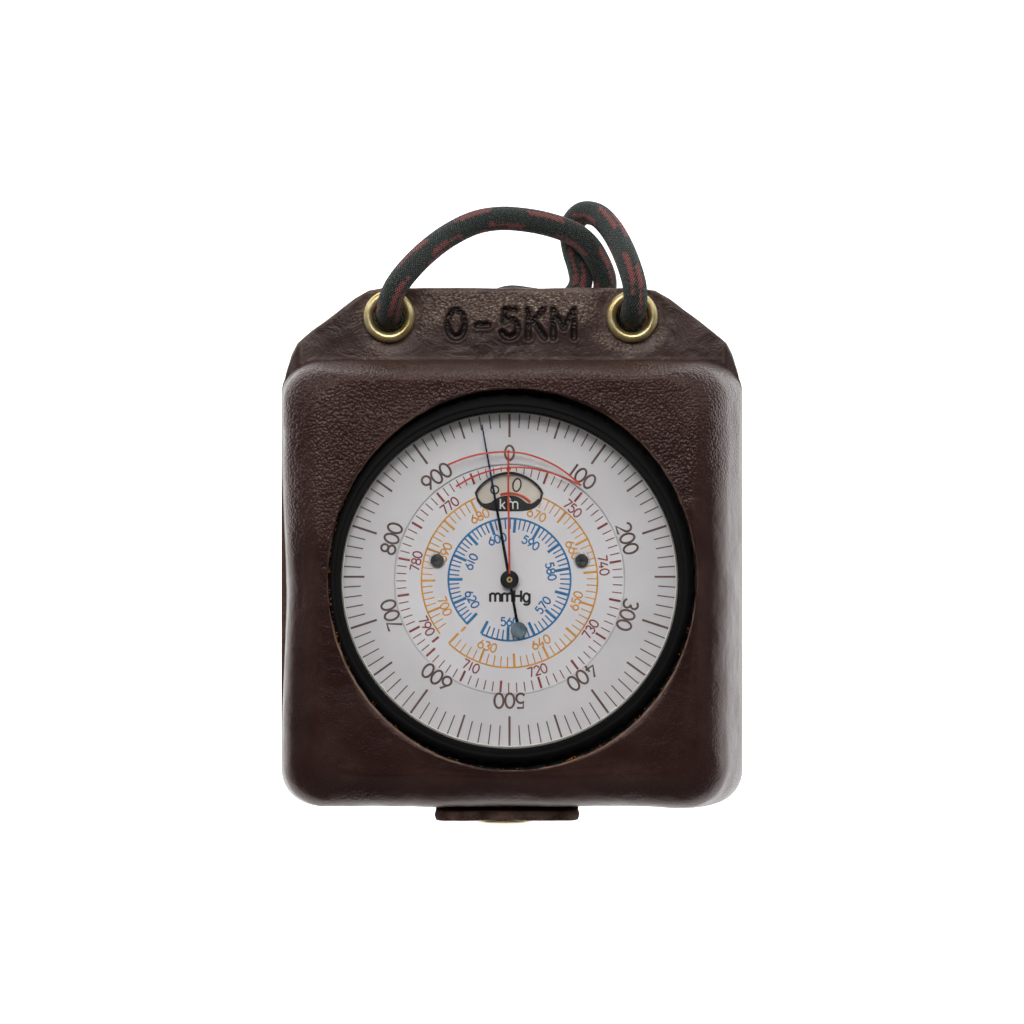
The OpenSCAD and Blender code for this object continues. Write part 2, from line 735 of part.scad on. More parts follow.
module rear_cover() {
    color(black) difference() {
        translate([0, 0, cover_z]) cylinder(r = cover_r, h = cover_t);
        translate([0, 0, cover_z - 1]) cylinder(r = 0.8, h = cover_t + 2);
        for (a = cover_screw_angles) rotate(a) translate([cover_screw_r, 0, cover_z - 1]) {
            cylinder(r = screw_r + slip, h = cover_t + 2);
            cylinder(r = screw_head_r + slip, h = 1 + slip + screw_head_t);
        }
    }
}

module cover_screws() {
    color(steel) for (a = cover_screw_angles) rotate(a)
        translate([cover_screw_r, 0, cover_z + slip + screw_head_t]) mirror([0, 0, 1])
            screw([0, 0], 0, cover_t + lip_t - screw_head_t - 0.15);
}

module bezel() {
    grip_depth = 0.35;
    lip_z = glass_z + crystal_t;
    grip_steps = 6;
    flange = [
        for (k = [0:bezel_grips * grip_steps - 1])
            let (a = 360 * k / (bezel_grips * grip_steps))
            (bezel_r - grip_depth * (0.5 + 0.5 * cos(bezel_grips * a))) * [cos(a), sin(a)]
    ];
    crown = [for (p = arc(0.7, 0, 70, 5)) [bezel_ring_r - 0.7 + p.x, bezel_top - 1 + p.y]];
    color(black) {
        difference() {
            translate([0, 0, flange_z]) linear_extrude(flange_t) polygon(flange);
            translate([0, 0, flange_z - 1]) cylinder(r = skirt_r - 0.4, h = flange_t + 2);
        }
        rotate_extrude() polygon(concat(
            [[skirt_bore_r, groove_z - 0.4], [skirt_r, groove_z - 0.4], [skirt_r, groove_z],
             [skirt_r - 0.45, groove_z], [skirt_r - 0.45, groove_z + groove_t],
             [skirt_r, groove_z + groove_t], [skirt_r, flange_z],
             [bezel_ring_r + 0.15, flange_z + 0.2], [bezel_ring_r + 0.15, flange_z + flange_t - 0.2],
             [bezel_ring_r, flange_z + flange_t]],
            crown,
            [[dial_r + 0.4, bezel_top], [dial_r + 0.2, bezel_top - 0.2], [dial_r + 0.2, lip_z],
             [skirt_bore_r, lip_z]]
        ));
    }
}

module bezel_spring_ring() {
    color(steel) ring(skirt_r + 0.4, skirt_r - 0.35, groove_z + slip, groove_t - 2 * slip);
}

module crystal() {
    color("#dfe8ea", 0.3) translate([0, 0, glass_z]) cylinder(r = glass_r, h = crystal_t);
}

module crystal_spacer() {
    color("#e6dfc8") ring(glass_r, dial_r, ring_z + ring_t, glass_z - ring_z - ring_t);
}

module altitude_ring() {
    color(cream) ring(glass_r, ring_inner_r, ring_z, ring_t);
}

module ring_retainer() {
    color(black) ring(skirt_bore_r, dial_r + 0.2, ring_z - 0.7, 0.7);
}

module red_index() {
    color("#d9442c") translate([0, 0, glass_z - index_t]) linear_extrude(index_t) {
        translate([-index_w / 2, 0]) square([index_w, dial_r * 0.77]);
        circle(r = hub_r * 0.65);
        polygon(dial_r * [[-0.02, 0.655], [0, 0.632], [0.02, 0.655], [0, 0.678]]);
        for (line = [index_upper, index_lower]) polygon(strip(dial_r * smooth(line, 3), index_w));
    }
}

module window_outline() {
    span = [for (k = [0:24]) k / 12 - 1];
    above = [for (t = span) [window_hw * t, window_mid + window_up * pow(1 - pow(abs(t), 1.9), 0.75)]];
    below = [for (t = span) [-window_hw * t, window_mid - window_down * pow(1 - pow(abs(t), 4), 0.55)]];
    translate([-0.05, 0]) polygon(concat(
        [for (k = [24:-1:0]) above[k]],
        [for (k = [23:-1:1]) below[k]]
    ));
}

module pressure_dial() {
    color(cream) difference() {
        translate([0, 0, dial_z]) cylinder(r = pressure_r, h = dial_t);
        translate([0, 0, dial_z - 1]) cylinder(r = 1, h = dial_t + 2);
        translate([0, 0, dial_z - 1]) linear_extrude(dial_t + 2) window_outline();
        for (p = dial_screws_at) translate([p.x, p.y, dial_z - 1])
            cylinder(r = screw_r + slip, h = dial_t + 2);
    }
}

module dial_screws() {
    color("#4a4a4a") for (p = dial_screws_at) screw(p, dial_z + dial_t, dial_t + screw_bite);
}

module dial_pillars() {
    color(steel) for (p = dial_screws_at) difference() {
        translate([p.x, p.y, plate_z + plate_t])
            cylinder(r = dial_pillar_r, h = dial_z - plate_z - plate_t);
        translate([p.x, p.y, dial_z - screw_bite - 0.6]) cylinder(r = screw_r + slip, h = 4);
    }
}

module km_disc() {
    color("#cfc8b4") difference() {
        translate([km_at.x, km_at.y, km_disc_z]) cylinder(r = km_disc_r, h = km_disc_t);
        translate([km_at.x, km_at.y, km_disc_z - 1]) cylinder(r = 0.9, h = 3);
    }
}

module km_wheel() {
    color(brass) translate([km_at.x, km_at.y, 0]) difference() {
        union() {
            translate([0, 0, km_wheel_z]) linear_extrude(wheel_t)
                polygon(gear_outline(km_teeth, km_module, 270 + 180 / km_teeth));
            translate([0, 0, km_wheel_z - 0.3]) cylinder(r = 1.5, h = km_disc_z - km_wheel_z + 0.3);
            translate([0, 0, km_disc_z]) cylinder(r = 0.85, h = km_disc_t);
        }
        translate([0, 0, km_wheel_z - 1]) cylinder(r = arbor_r + pivot_play, h = 3);
        for (k = [0:4]) rotate(72 * k + 36) translate([5, 0, km_wheel_z - 1]) cylinder(r = 2.1, h = 3);
    }
}

module km_stud() {
    color(steel) translate([km_at.x, km_at.y, bridge_z + bridge_t])
        cylinder(r = arbor_r, h = km_disc_z + km_disc_t - bridge_z - bridge_t);
}

module pointer() {
    color("#1e2b45") rotate(pointer_angle) translate([0, 0, ring_z + 1]) linear_extrude(0.2) {
        polygon([[-pointer_w / 2, hub_r - 0.2], [pointer_w / 2, hub_r - 0.2],
                 [pointer_w * 0.4, pointer_len * 0.5], [pointer_w * 0.22, pointer_len],
                 [-pointer_w * 0.22, pointer_len], [-pointer_w * 0.4, pointer_len * 0.5]]);
        polygon([[-pointer_w * 0.45, 0.2 - hub_r], [-pointer_w * 0.45, 0.6 - tail_len],
                 [pointer_w * 0.45, 0.6 - tail_len], [pointer_w * 0.45, 0.2 - hub_r]]);
        translate([0, -tail_len]) circle(r = tail_r);
        difference() {
            circle(r = hub_r);
            circle(r = arbor_r + 0.4);
        }
    }
}

module pointer_hub() {
    color(black) difference() {
        union() {
            translate([0, 0, ring_z + 0.65]) cylinder(r = hub_r, h = 0.35);
            translate([0, 0, ring_z + 1]) cylinder(r = arbor_r + 0.4, h = 0.2);
            translate([0, 0, ring_z + 1.2]) cylinder(r = hub_r, h = 0.5);
        }
        translate([0, 0, ring_z]) cylinder(r = arbor_r, h = 3);
    }
}

module centre_arbor() {
    color(steel) {
        translate([0, 0, plate_z + plate_t - jewel_t]) cylinder(r = pivot_r, h = jewel_t + 0.2);
        translate([0, 0, plate_z + plate_t + hair_gap])
            cylinder(r = arbor_r, h = ring_z + 1.5 - plate_z - plate_t);
        translate([0, 0, hair_z - 0.2]) cylinder(r = 0.95, h = hair_h + 0.4);
        translate([0, 0, centre_pinion_z]) linear_extrude(pinion_h)
            polygon(gear_outline(pinion_teeth, train_module, 90));
        translate([0, 0, km_pinion_z]) linear_extrude(pinion_h)
            polygon(gear_outline(pinion_teeth, km_module, 90));
    }
}

module transfer_wheel() {
    color(brass) translate([transfer_at.x, transfer_at.y, 0]) {
        difference() {
            translate([0, 0, transfer_wheel_z]) linear_extrude(wheel_t)
                polygon(gear_outline(transfer_teeth, train_module, 90 + 180 / transfer_teeth));
            for (k = [0:4]) rotate(72 * k) translate([3.4, 0, transfer_wheel_z - 1])
                cylinder(r = 1.45, h = 3);
        }
        translate([0, 0, transfer_pinion_z]) linear_extrude(transfer_wheel_z - transfer_pinion_z)
            polygon(gear_outline(pinion_teeth, train_module, sector_line + 180));
        translate([0, 0, plate_z + plate_t + hair_gap])
            cylinder(r = staff_r, h = bridge_z - plate_z - plate_t - 2 * hair_gap);
        translate([0, 0, plate_z + plate_t - jewel_t])
            cylinder(r = pivot_r, h = bridge_z - plate_z - plate_t + 2 * jewel_t);
    }
}

module sector_gear() {
    first = -4;
    count = 19;
    step = 360 / sector_full_teeth;
    line = sector_line + half_swing;
    sector_r = sector_full_teeth * train_module / 2;
    rim_r = sector_r - 1.6;
    start = sector_line + step / 2 + step * first;
    teeth = [for (k = [0:count - 1]) each tooth(sector_full_teeth, train_module, start + step * k)];
    back = arc(rim_r, start + step * (count - 1), start, 20);
    color(brass) translate([sector_at.x, sector_at.y, 0]) {
        translate([0, 0, sector_z]) linear_extrude(wheel_t) {
            polygon(concat(teeth, back));
            for (a = [-18, 18]) rotate(line + a) translate([0, -0.6]) square([rim_r + 0.5, 1.2]);
            rotate(line) translate([0, -0.9]) square([drive_arm + 1, 1.8]);
            circle(r = 2);
        }
        rotate(90 + half_swing) translate([drive_arm, 0, sector_z - pin_drop])
            cylinder(r = pin_r, h = pin_drop + 0.2);
        rotate(90 + half_swing) translate([0, -0.8, sector_z]) cube([drive_arm + 0.8, 1.6, wheel_t]);
        translate([0, 0, plate_z + plate_t + hair_gap])
            cylinder(r = staff_r + 0.2, h = bridge_z - plate_z - plate_t - 2 * hair_gap);
        translate([0, 0, plate_z + plate_t - jewel_t])
            cylinder(r = pivot_r, h = bridge_z - plate_z - plate_t + 2 * jewel_t);
    }
}

module rocking_shaft() {
    pin_y = sector_at.y + drive_arm * cos(half_swing);
    color(steel) translate([shaft_x(), 0, shaft_z]) {
        bar_y(shaft_r, shaft_front_y + 0.1, shaft_back_y - 0.1);
        bar_y(pivot_r + 0.1, shaft_front_y - 1, shaft_back_y + 1);
        rotate([0, -half_swing, 0]) {
            translate([-0.5, pin_y - 0.5, 0]) cube([1, 1, drive_arm - 0.9]);
            translate([-fork_gap / 2 - fork_wall, pin_y - 0.6, drive_arm - fork_foot - 0.5])
                cube([fork_gap + 2 * fork_wall, 1.2, fork_foot]);
            for (s = [-1, 1])
                translate([s * (fork_gap + fork_wall) / 2 - fork_wall / 2, pin_y - 0.6, drive_arm - fork_foot])
                    cube([fork_wall, 1.2, 0.8]);
        }
    }
}

module bimetal_arm() {
    color("#b08a4a") translate([shaft_x(), 0, shaft_z]) rotate([0, -half_swing, 0]) {
        difference() {
            translate([-lift_arm, -0.8, -0.15]) cube([lift_arm - shaft_r / 2, 1.6, 0.3]);
            bar_y(shaft_r, -1, 1);
        }
        translate([-lift_arm, 0, 0]) bar_y(lift_tip_r, -0.8, 0.8);
    }
}

module shaft_brackets() {
    color(brass) for (side = [0, 1]) {
        y = side == 0 ? shaft_front_y - 1.3 : shaft_back_y;
        difference() {
            translate([shaft_x() - 1.5, y, shaft_z - 1.2]) cube([3, 1.3, plate_z - shaft_z + 1.2]);
            translate([shaft_x(), 0, shaft_z]) bar_y(pivot_r + 0.1 + pivot_play, y - 1, y + 2.3);
        }
    }
}

module capsule_link() {
    color(steel) {
        translate([0, 0, capsule_top]) cylinder(r = 2.2, h = 0.4);
        translate([0, 0, capsule_top]) cylinder(r = 0.9, h = link_top - capsule_top);
    }
}

// Half of a capsule in section, with its rings of waves
function capsule_half(up) = [
    for (k = [0:12])
        let (r = capsule_r - 1 - (capsule_r - 5) * k / 12)
        [r, up * (capsule_t / 2 - 0.12 + (k % 2 == 0 ? 0.1 : -0.12))]
];

module aneroid_capsules() {
    color("#b9bcbf") for (k = [0, 1])
        translate([0, 0, capsule_z + capsule_t / 2 + k * (capsule_t + capsule_neck)]) rotate_extrude() {
            lower = capsule_half(-1);
            polygon(concat([[0, capsule_t / 2]], [for (i = [12:-1:0]) capsule_half(1)[i]],
                           [[capsule_r, 0.12], [capsule_r, -0.12]], lower, [[0, -capsule_t / 2]]));
            if (k == 0) translate([0, capsule_t / 2 - 0.2]) square([capsule_neck_r, capsule_neck + 0.4]);
        }
}

module capsule_yoke() {
    color(brass) {
        translate([-yoke_x - 1.2 * yoke_pillar_r, -yoke_w / 2, yoke_z])
            cube([2 * yoke_x + 2.4 * yoke_pillar_r, yoke_w, yoke_bar_t]);
        translate([0, 0, yoke_z]) cylinder(r = yoke_w * 0.75, h = yoke_t);
    }
}

module yoke_pillars() {
    color(steel) for (s = [-1, 1]) translate([s * yoke_x, 0, yoke_z + yoke_bar_t])
        cylinder(r = yoke_pillar_r, h = plate_z - yoke_z - yoke_bar_t);
}

module base_plate() {
    color(brass) difference() {
        translate([0, 0, plate_z]) cylinder(r = plate_r, h = plate_t);
        for (p = pivot_at) translate([p.x, p.y, plate_z - 1]) cylinder(r = jewel_r, h = plate_t + 2);
        translate([shaft_x() - 2, sector_at.y + drive_arm - 1.2, plate_z - 1])
            cube([3.6, 2.4, plate_t + 2]);
        for (a = [40, 140, 180, 0]) rotate(a) translate([plate_hole_at, 0, plate_z - 1])
            cylinder(r = plate_hole_r, h = plate_t + 2);
        for (a = plate_screw_angles) rotate(a) translate([plate_screw_r, 0, plate_z - 1])
            cylinder(r = screw_r + slip, h = plate_t + 2);
    }
}

module plate_screws() {
    color(steel) for (a = plate_screw_angles) rotate(a)
        screw([plate_screw_r, 0], plate_z + plate_t, plate_t + 1);
}

module top_bridge() {
    arm_w = 4.4;
    boss_r = 3;
    feet = concat([sector_at], bridge_pillars_at);
    color(brass) translate([0, 0, bridge_z]) difference() {
        linear_extrude(bridge_t) {
            translate(transfer_at) circle(r = boss_r + 0.4);
            for (foot = feet) {
                turn = atan2(foot.y - transfer_at.y, foot.x - transfer_at.x);
                translate(foot) circle(r = boss_r);
                translate(transfer_at) rotate(turn) translate([0, -arm_w / 2])
                    square([norm(foot - transfer_at), arm_w]);
            }
        }
        translate([0, 0, -1]) cylinder(r = arbor_r + 0.1, h = 3);
        for (p = [transfer_at, sector_at]) translate([p.x, p.y, -1]) cylinder(r = jewel_r, h = 3);
        for (p = bridge_pillars_at) translate([p.x, p.y, -1]) cylinder(r = screw_r + slip, h = 3);
    }
}

module bridge_pillars() {
    color(steel) for (p = bridge_pillars_at) difference() {
        translate([p.x, p.y, plate_z + plate_t])
            cylinder(r = bridge_pillar_r, h = bridge_z - plate_z - plate_t);
        translate([p.x, p.y, bridge_z - screw_bite - 0.2]) cylinder(r = screw_r + slip, h = 4);
    }
}

module bridge_screws() {
    color(steel) for (p = bridge_pillars_at) screw(p, bridge_z + bridge_t, bridge_t + screw_bite);
}

module hairspring() {
    steps = 24 * hair_turns;
    function hair_r(k) = hair_inner_r + hair_pitch * k / 24;
    outer = [for (k = [0:steps]) (hair_r(k) + hair_w / 2) * [cos(15 * k), sin(15 * k)]];
    inner = [for (k = [steps:-1:0]) (hair_r(k) - hair_w / 2) * [cos(15 * k), sin(15 * k)]];
    color("#5a6f9a") translate([0, 0, hair_z]) linear_extrude(hair_h) polygon(concat(outer, inner));
}

module hairspring_stud() {
    color(steel) translate([hair_inner_r + hair_pitch * hair_turns + hair_w / 2, -0.6, plate_z + plate_t])
        cube([1, 1.2, hair_z + hair_h - plate_z - plate_t]);
}

module jewels() {
    color(ruby) {
        for (p = pivot_at) difference() {
            translate([p.x, p.y, plate_z + plate_t - jewel_t]) cylinder(r = jewel_r, h = jewel_t);
            translate([p.x, p.y, plate_z]) cylinder(r = pivot_bore_r, h = 3);
        }
        for (p = [transfer_at, sector_at]) difference() {
            translate([p.x, p.y, bridge_z]) cylinder(r = jewel_r, h = jewel_t);
            translate([p.x, p.y, bridge_z - 1]) cylinder(r = pivot_bore_r, h = 3);
        }
    }
}

case_shell();
lug_backing();
back_flap();
closing_strap();
left_eyelet();
right_eyelet();
eyelet_washers();
snap_cap();
snap_socket();
snap_stud();
snap_rivet();
lanyard();
left_knot();
right_knot();
housing();
rear_cover();
cover_screws();
bezel();
bezel_spring_ring();
crystal();
crystal_spacer();
altitude_ring();
ring_retainer();
red_index();
pressure_dial();
dial_screws();
dial_pillars();
km_disc();
km_wheel();
km_stud();
pointer();
pointer_hub();
centre_arbor();
transfer_wheel();
sector_gear();
rocking_shaft();
bimetal_arm();
shaft_brackets();
capsule_link();
aneroid_capsules();
capsule_yoke();
yoke_pillars();
base_plate();
plate_screws();
top_bridge();
bridge_pillars();
bridge_screws();
hairspring();
hairspring_stud();
jewels();
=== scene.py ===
# Pocket altimeter in its moulded leather case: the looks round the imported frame.
# Sizes are in millimetres until a mesh is made. The dial's axis is the origin and the dial faces +Z.
import math

import bmesh
import bpy
import numpy as np
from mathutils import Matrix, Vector, noise


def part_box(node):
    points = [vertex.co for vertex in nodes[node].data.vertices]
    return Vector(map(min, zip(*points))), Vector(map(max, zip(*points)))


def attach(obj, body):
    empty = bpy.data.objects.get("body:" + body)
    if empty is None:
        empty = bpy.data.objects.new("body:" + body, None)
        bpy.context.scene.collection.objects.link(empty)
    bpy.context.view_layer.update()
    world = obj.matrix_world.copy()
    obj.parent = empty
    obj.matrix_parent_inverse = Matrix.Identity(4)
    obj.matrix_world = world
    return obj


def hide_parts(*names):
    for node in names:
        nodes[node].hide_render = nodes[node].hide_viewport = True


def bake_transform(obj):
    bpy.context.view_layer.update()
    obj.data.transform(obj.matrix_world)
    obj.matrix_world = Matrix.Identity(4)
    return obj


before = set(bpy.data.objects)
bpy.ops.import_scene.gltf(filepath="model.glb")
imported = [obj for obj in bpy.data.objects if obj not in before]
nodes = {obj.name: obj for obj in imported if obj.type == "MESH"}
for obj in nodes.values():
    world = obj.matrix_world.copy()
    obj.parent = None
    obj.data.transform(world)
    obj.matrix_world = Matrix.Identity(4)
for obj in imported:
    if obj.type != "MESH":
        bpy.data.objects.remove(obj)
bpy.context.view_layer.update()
mm = 0.001
print("frame loaded:", len(nodes), "nodes")


# small helpers are kept first, because every piece uses them
def linear(hexColour):
    parts = [int(hexColour[i : i + 2], 16) / 255 for i in (1, 3, 5)]
    return tuple(p / 12.92 if p <= 0.04045 else ((p + 0.055) / 1.055) ** 2.4 for p in parts) + (1.0,)


def addNode(tree, kind, inputs=None, **settings):
    made = tree.nodes.new(kind)
    for name, value in settings.items():
        setattr(made, name, value)
    for socket, value in (inputs or {}).items():
        if isinstance(value, bpy.types.NodeSocket):
            tree.links.new(value, made.inputs[socket])
        else:
            made.inputs[socket].default_value = value
    return made


def addRamp(tree, factor, stops):
    made = addNode(tree, "ShaderNodeValToRGB", {0: factor})
    ramp = made.color_ramp
    while len(ramp.elements) < len(stops):
        ramp.elements.new(0.5)
    for element, (place, colour) in zip(ramp.elements, stops):
        element.position = place
        element.color = linear(colour)
    return made.outputs["Color"]


def newMaterial(name, values):
    made = bpy.data.materials.new(name)
    made.use_nodes = True
    shader = made.node_tree.nodes["Principled BSDF"]
    for socket, value in values.items():
        shader.inputs[socket].default_value = value
    return made, made.node_tree, shader


def feed(tree, shader, sockets):
    for socket, value in sockets.items():
        tree.links.new(value, shader.inputs[socket])


def maths(tree, operation, *values):
    return addNode(tree, "ShaderNodeMath", dict(enumerate(values)), operation=operation).outputs[0]


def remapped(tree, value, *span):
    # span: from low, from high, to low, to high
    return addNode(tree, "ShaderNodeMapRange", {"Value": value, **dict(enumerate(span, 1))}).outputs[0]


def noiseOf(tree, place, sizeMm, detail, more=None, output="Fac"):
    inputs = {"Vector": place, "Scale": 1000 / sizeMm, "Detail": detail, **(more or {})}
    return addNode(tree, "ShaderNodeTexNoise", inputs).outputs[output]


def mixed(tree, factor, first, second, **settings):
    inputs = {0: factor, 6: first, 7: second}
    return addNode(tree, "ShaderNodeMix", inputs, data_type="RGBA", **settings).outputs[2]


def attributeOf(tree, label):
    return addNode(tree, "ShaderNodeAttribute", attribute_name=label).outputs["Fac"]


def bumped(tree, height, distanceMm, strength=1.0, under=None):
    inputs = {"Strength": strength, "Distance": distanceMm * mm, "Height": height}
    if under is not None:
        inputs["Normal"] = under
    return addNode(tree, "ShaderNodeBump", inputs).outputs[0]


def combined(tree, x=0.0, y=0.0, z=0.0):
    return addNode(tree, "ShaderNodeCombineXYZ", {0: x, 1: y, 2: z}).outputs[0]


def shownObject(name, data):
    made = bpy.data.objects.new(name, data)
    bpy.context.scene.collection.objects.link(made)
    return made


def catmull(rows, steps):
    # smooth curve through rows of numbers, steps points to a span
    rows = np.asarray(rows, float)
    out = []
    for i in range(len(rows) - 1):
        a, b = rows[max(i - 1, 0)], rows[i]
        c, d = rows[i + 1], rows[min(i + 2, len(rows) - 1)]
        for k in range(steps):
            t = k / steps
            out.append(0.5 * (2 * b + (c - a) * t + (2 * a - 5 * b + 4 * c - d) * t * t
                              + (3 * b - a - 3 * c + d) * t**3))
    out.append(rows[-1])
    return np.array(out)


def smoothStep(value, low, high):
    t = np.clip((np.asarray(value, float) - low) / (high - low), 0, 1)
    return t * t * (3 - 2 * t)


def meshPiece(name, points, faces, slots, slotOf=None, smooth=True, attributes=None):
    mesh = bpy.data.meshes.new(name)
    mesh.from_pydata((np.asarray(points, float) * mm).tolist(), [], faces)
    for slot in slots:
        mesh.materials.append(slot)
    if slotOf is not None:
        mesh.polygons.foreach_set("material_index", np.asarray(slotOf, np.int32))
    mesh.polygons.foreach_set("use_smooth", np.full(len(mesh.polygons), smooth))
    for label, values in (attributes or {}).items():
        made = mesh.attributes.new(label, "FLOAT", "POINT")
        made.data.foreach_set("value", np.asarray(values, np.float32))
    mesh.validate()
    mesh.update()
    return shownObject(name, mesh)


def ripple(points, size, seed):
    # soft noise from -1 to 1 at each point, size in millimetres
    shift = Vector((seed * 7.3, seed * 3.1, seed * 5.7))
    return np.array([noise.noise(Vector(p) / size + shift) for p in points])


def dented(points, dents):
    # several soft noises added up: height and size in millimetres, and a seed
    return sum(height * ripple(points, size, seed) for height, size, seed in dents)


def bell(value, middle, width, power=2):
    return np.exp(-(((value - middle) / width) ** power))


def runLength(line):
    # how far along the line each of its points is
    return np.concatenate([[0], np.cumsum(np.linalg.norm(np.diff(line, axis=0), axis=1))])


def bandFaces(rings, count, closed):
    spans = rings if closed else rings - 1
    return [
        (i * count + j, i * count + (j + 1) % count,
         ((i + 1) % rings) * count + (j + 1) % count, ((i + 1) % rings) * count + j)
        for i in range(spans)
        for j in range(count)
    ]


def solveNormals(points, faces):
    # vertex normals of a quad mesh
    quads = np.array(faces)
    across = points[quads[:, 2]] - points[quads[:, 0]]
    along = points[quads[:, 3]] - points[quads[:, 1]]
    flat = np.cross(across, along)
    total = np.zeros_like(points)
    for k in range(4):
        np.add.at(total, quads[:, k], flat)
    return total / np.maximum(np.linalg.norm(total, axis=1, keepdims=True), 1e-9)


# camera, floor and light
view = {"middleX": 0.45, "middleY": 12.15, "height": 672, "near": 10, "lens": 126.9, "sensor": 36}
camera = shownObject("camera", bpy.data.cameras.new("camera"))
camera.data.lens = view["lens"]
camera.data.sensor_width = view["sensor"]
camera.data.clip_start = view["near"] * mm
camera.location = (view["middleX"] * mm, view["middleY"] * mm, view["height"] * mm)
bpy.context.scene.camera = camera
bpy.context.scene.view_settings.view_transform = "Standard"

studio = {
    # name: (place, aimed at, width, height, watts)
    "backSoftbox": ((-40, 420, 600), (0, 20, 0), 640, 420, 1.15),
    "glintLamp": ((-30, 300, 640), (0, 20, 0), 190, 110, 0.75),
    "leftSoftbox": ((-480, 330, 380), (0, 0, 0), 160, 200, 0.25),
    "rightSoftbox": ((480, 330, 380), (0, 0, 0), 160, 200, 0.25),
    "frontFill": ((0, -500, 620), (0, 0, 0), 600, 260, 0.08),
}
for lampName, (place, target, width, height, watts) in studio.items():
    lamp = shownObject(lampName, bpy.data.lights.new(lampName, "AREA"))
    lamp.data.shape = "RECTANGLE"
    lamp.data.size = width * mm
    lamp.data.size_y = height * mm
    lamp.data.energy = watts
    lamp.location = Vector(place) * mm
    lamp.rotation_mode = "QUATERNION"
    lamp.rotation_quaternion = (Vector(target) - Vector(place)).to_track_quat("-Z", "Y")

world = bpy.data.worlds.new("paleStudio")
world.use_nodes = True
bpy.context.scene.world = world
sky = world.node_tree
skyPlace = addNode(sky, "ShaderNodeTexCoord")
skyHeight = addNode(sky, "ShaderNodeSeparateXYZ", {0: skyPlace.outputs["Generated"]})
# dark overhead, where the camera stands, bright half way down and darker again at the horizon
skyTone = addRamp(sky, skyHeight.outputs["Z"], [
    (0.0, "#585858"), (0.25, "#707070"), (0.45, "#b0b0b0"), (0.65, "#d0d0d0"), (0.8, "#8a8a8a"),
    (0.92, "#343434"), (1.0, "#202020"),
])
# brighter behind the object than in front of it
skyStrength = remapped(sky, skyHeight.outputs["Y"], -0.4, 0.8, 0.3, 0.85)
feed(sky, sky.nodes["Background"], {"Color": skyTone, "Strength": skyStrength})

# white opal sheet of a light table: it glows, so nothing throws a shadow on it
paper, paperTree, paperShader = newMaterial(
    "opalLightTable", {"Roughness": 0.9, "Emission Color": (1.0, 1.0, 1.0, 1.0), "Emission Strength": 1.6}
)
paperGrain = addNode(paperTree, "ShaderNodeTexNoise", {"Scale": 9.0, "Detail": 2.0})
feed(paperTree, paperShader, {
    "Base Color": addRamp(paperTree, paperGrain.outputs["Fac"], [(0.3, "#8c8c8c"), (0.7, "#909090")]),
})
table = {"reach": 2600, "level": -0.05}
tableCorners = [(x * table["reach"], y * table["reach"], table["level"])
                for x, y in ((-1, -1), (1, -1), (1, 1), (-1, 1))]
floor = meshPiece("floor", tableCorners, [(0, 1, 2, 3)], [paper])
print("camera, floor and light stand")


# materials
def leatherFinish(name, tones, roughness, grainMm, grainHeightMm, creaseMm):
    # dyed and waxed cowhide: domed grain cells with creases between them, paler where it is worn;
    # painted shade darkens the creases and a little painted highlight lifts the crowns; pale flecks are
    # painted as highlights where the grain is cracked; the attributes wearAndHighlight, flattened, struck
    # and crustAndGlints come from each mesh
    waxed = {"Specular IOR Level": 0.5, "Specular Tint": (1.0, 0.84, 0.8, 1.0)}
    made, tree, shader = newMaterial(name, waxed)
    place = addNode(tree, "ShaderNodeTexCoord").outputs["Object"]
    warp = noiseOf(tree, place, 3, 3.0, output="Color")
    bent = addNode(tree, "ShaderNodeVectorMath", {0: warp, 1: (0.0007,) * 3}, operation="MULTIPLY")
    moved = addNode(tree, "ShaderNodeVectorMath", {0: place, 1: bent.outputs[0]}, operation="ADD")
    cells = addNode(
        tree, "ShaderNodeTexVoronoi",
        {"Vector": moved.outputs[0], "Scale": 1000 / grainMm, "Randomness": 0.9}, feature="SMOOTH_F1",
    )
    dome = remapped(tree, cells.outputs["Distance"], 0.1, 0.75, 1.0, 0.0)
    pores = noiseOf(tree, place, 0.22, 3.0)
    patches = noiseOf(tree, place, 14, 4.0)
    creases = noiseOf(tree, place, 5, 5.0, {"Roughness": 0.62, "Distortion": 1.2})
    standing = maths(tree, "SUBTRACT", 1.0, attributeOf(tree, "flattened"))
    domed = maths(tree, "MULTIPLY", dome, standing)
    relief = maths(tree, "MULTIPLY_ADD", pores, 0.16, domed)
    colour = addRamp(tree, patches, [(0.25, tones[0]), (0.5, tones[1]), (0.75, tones[2])])
    rubbedAndHighlighted = mixed(tree, attributeOf(tree, "wearAndHighlight"), colour, linear(tones[3]))
    pressed = mixed(tree, attributeOf(tree, "struck"), rubbedAndHighlighted, linear("#120b09"))
    # pale flecks drawn out sideways on the cracked old surface: painted highlights standing in for the glints
    # there
    drawnOut = addNode(tree, "ShaderNodeMapping", {"Vector": place, "Scale": (0.6, 1.5, 1.0)}).outputs[0]
    glintFlakes = remapped(tree, noiseOf(tree, drawnOut, 0.4, 3.0, {"Roughness": 0.6}), 0.55, 0.64)
    paintedGlintSpecks = maths(tree, "MULTIPLY", glintFlakes, attributeOf(tree, "crustAndGlints"))
    withPaintedGlints = mixed(tree, paintedGlintSpecks, pressed, linear("#c8b49a"))
    # painted shade: the colour is darkened in the creases between the grain cells and lifted a little on
    # their crowns
    depth = remapped(tree, domed, 0.0, 0.6, 0.7, 1.05)
    coarse = bumped(tree, creases, creaseMm)
    feed(tree, shader, {
        "Base Color": mixed(tree, 1.0, withPaintedGlints, depth, blend_type="MULTIPLY"),
        "Roughness": remapped(tree, patches, 0.3, 0.7, roughness - 0.05, roughness + 0.06),
        "Normal": bumped(tree, relief, grainHeightMm, under=coarse),
    })
    return made


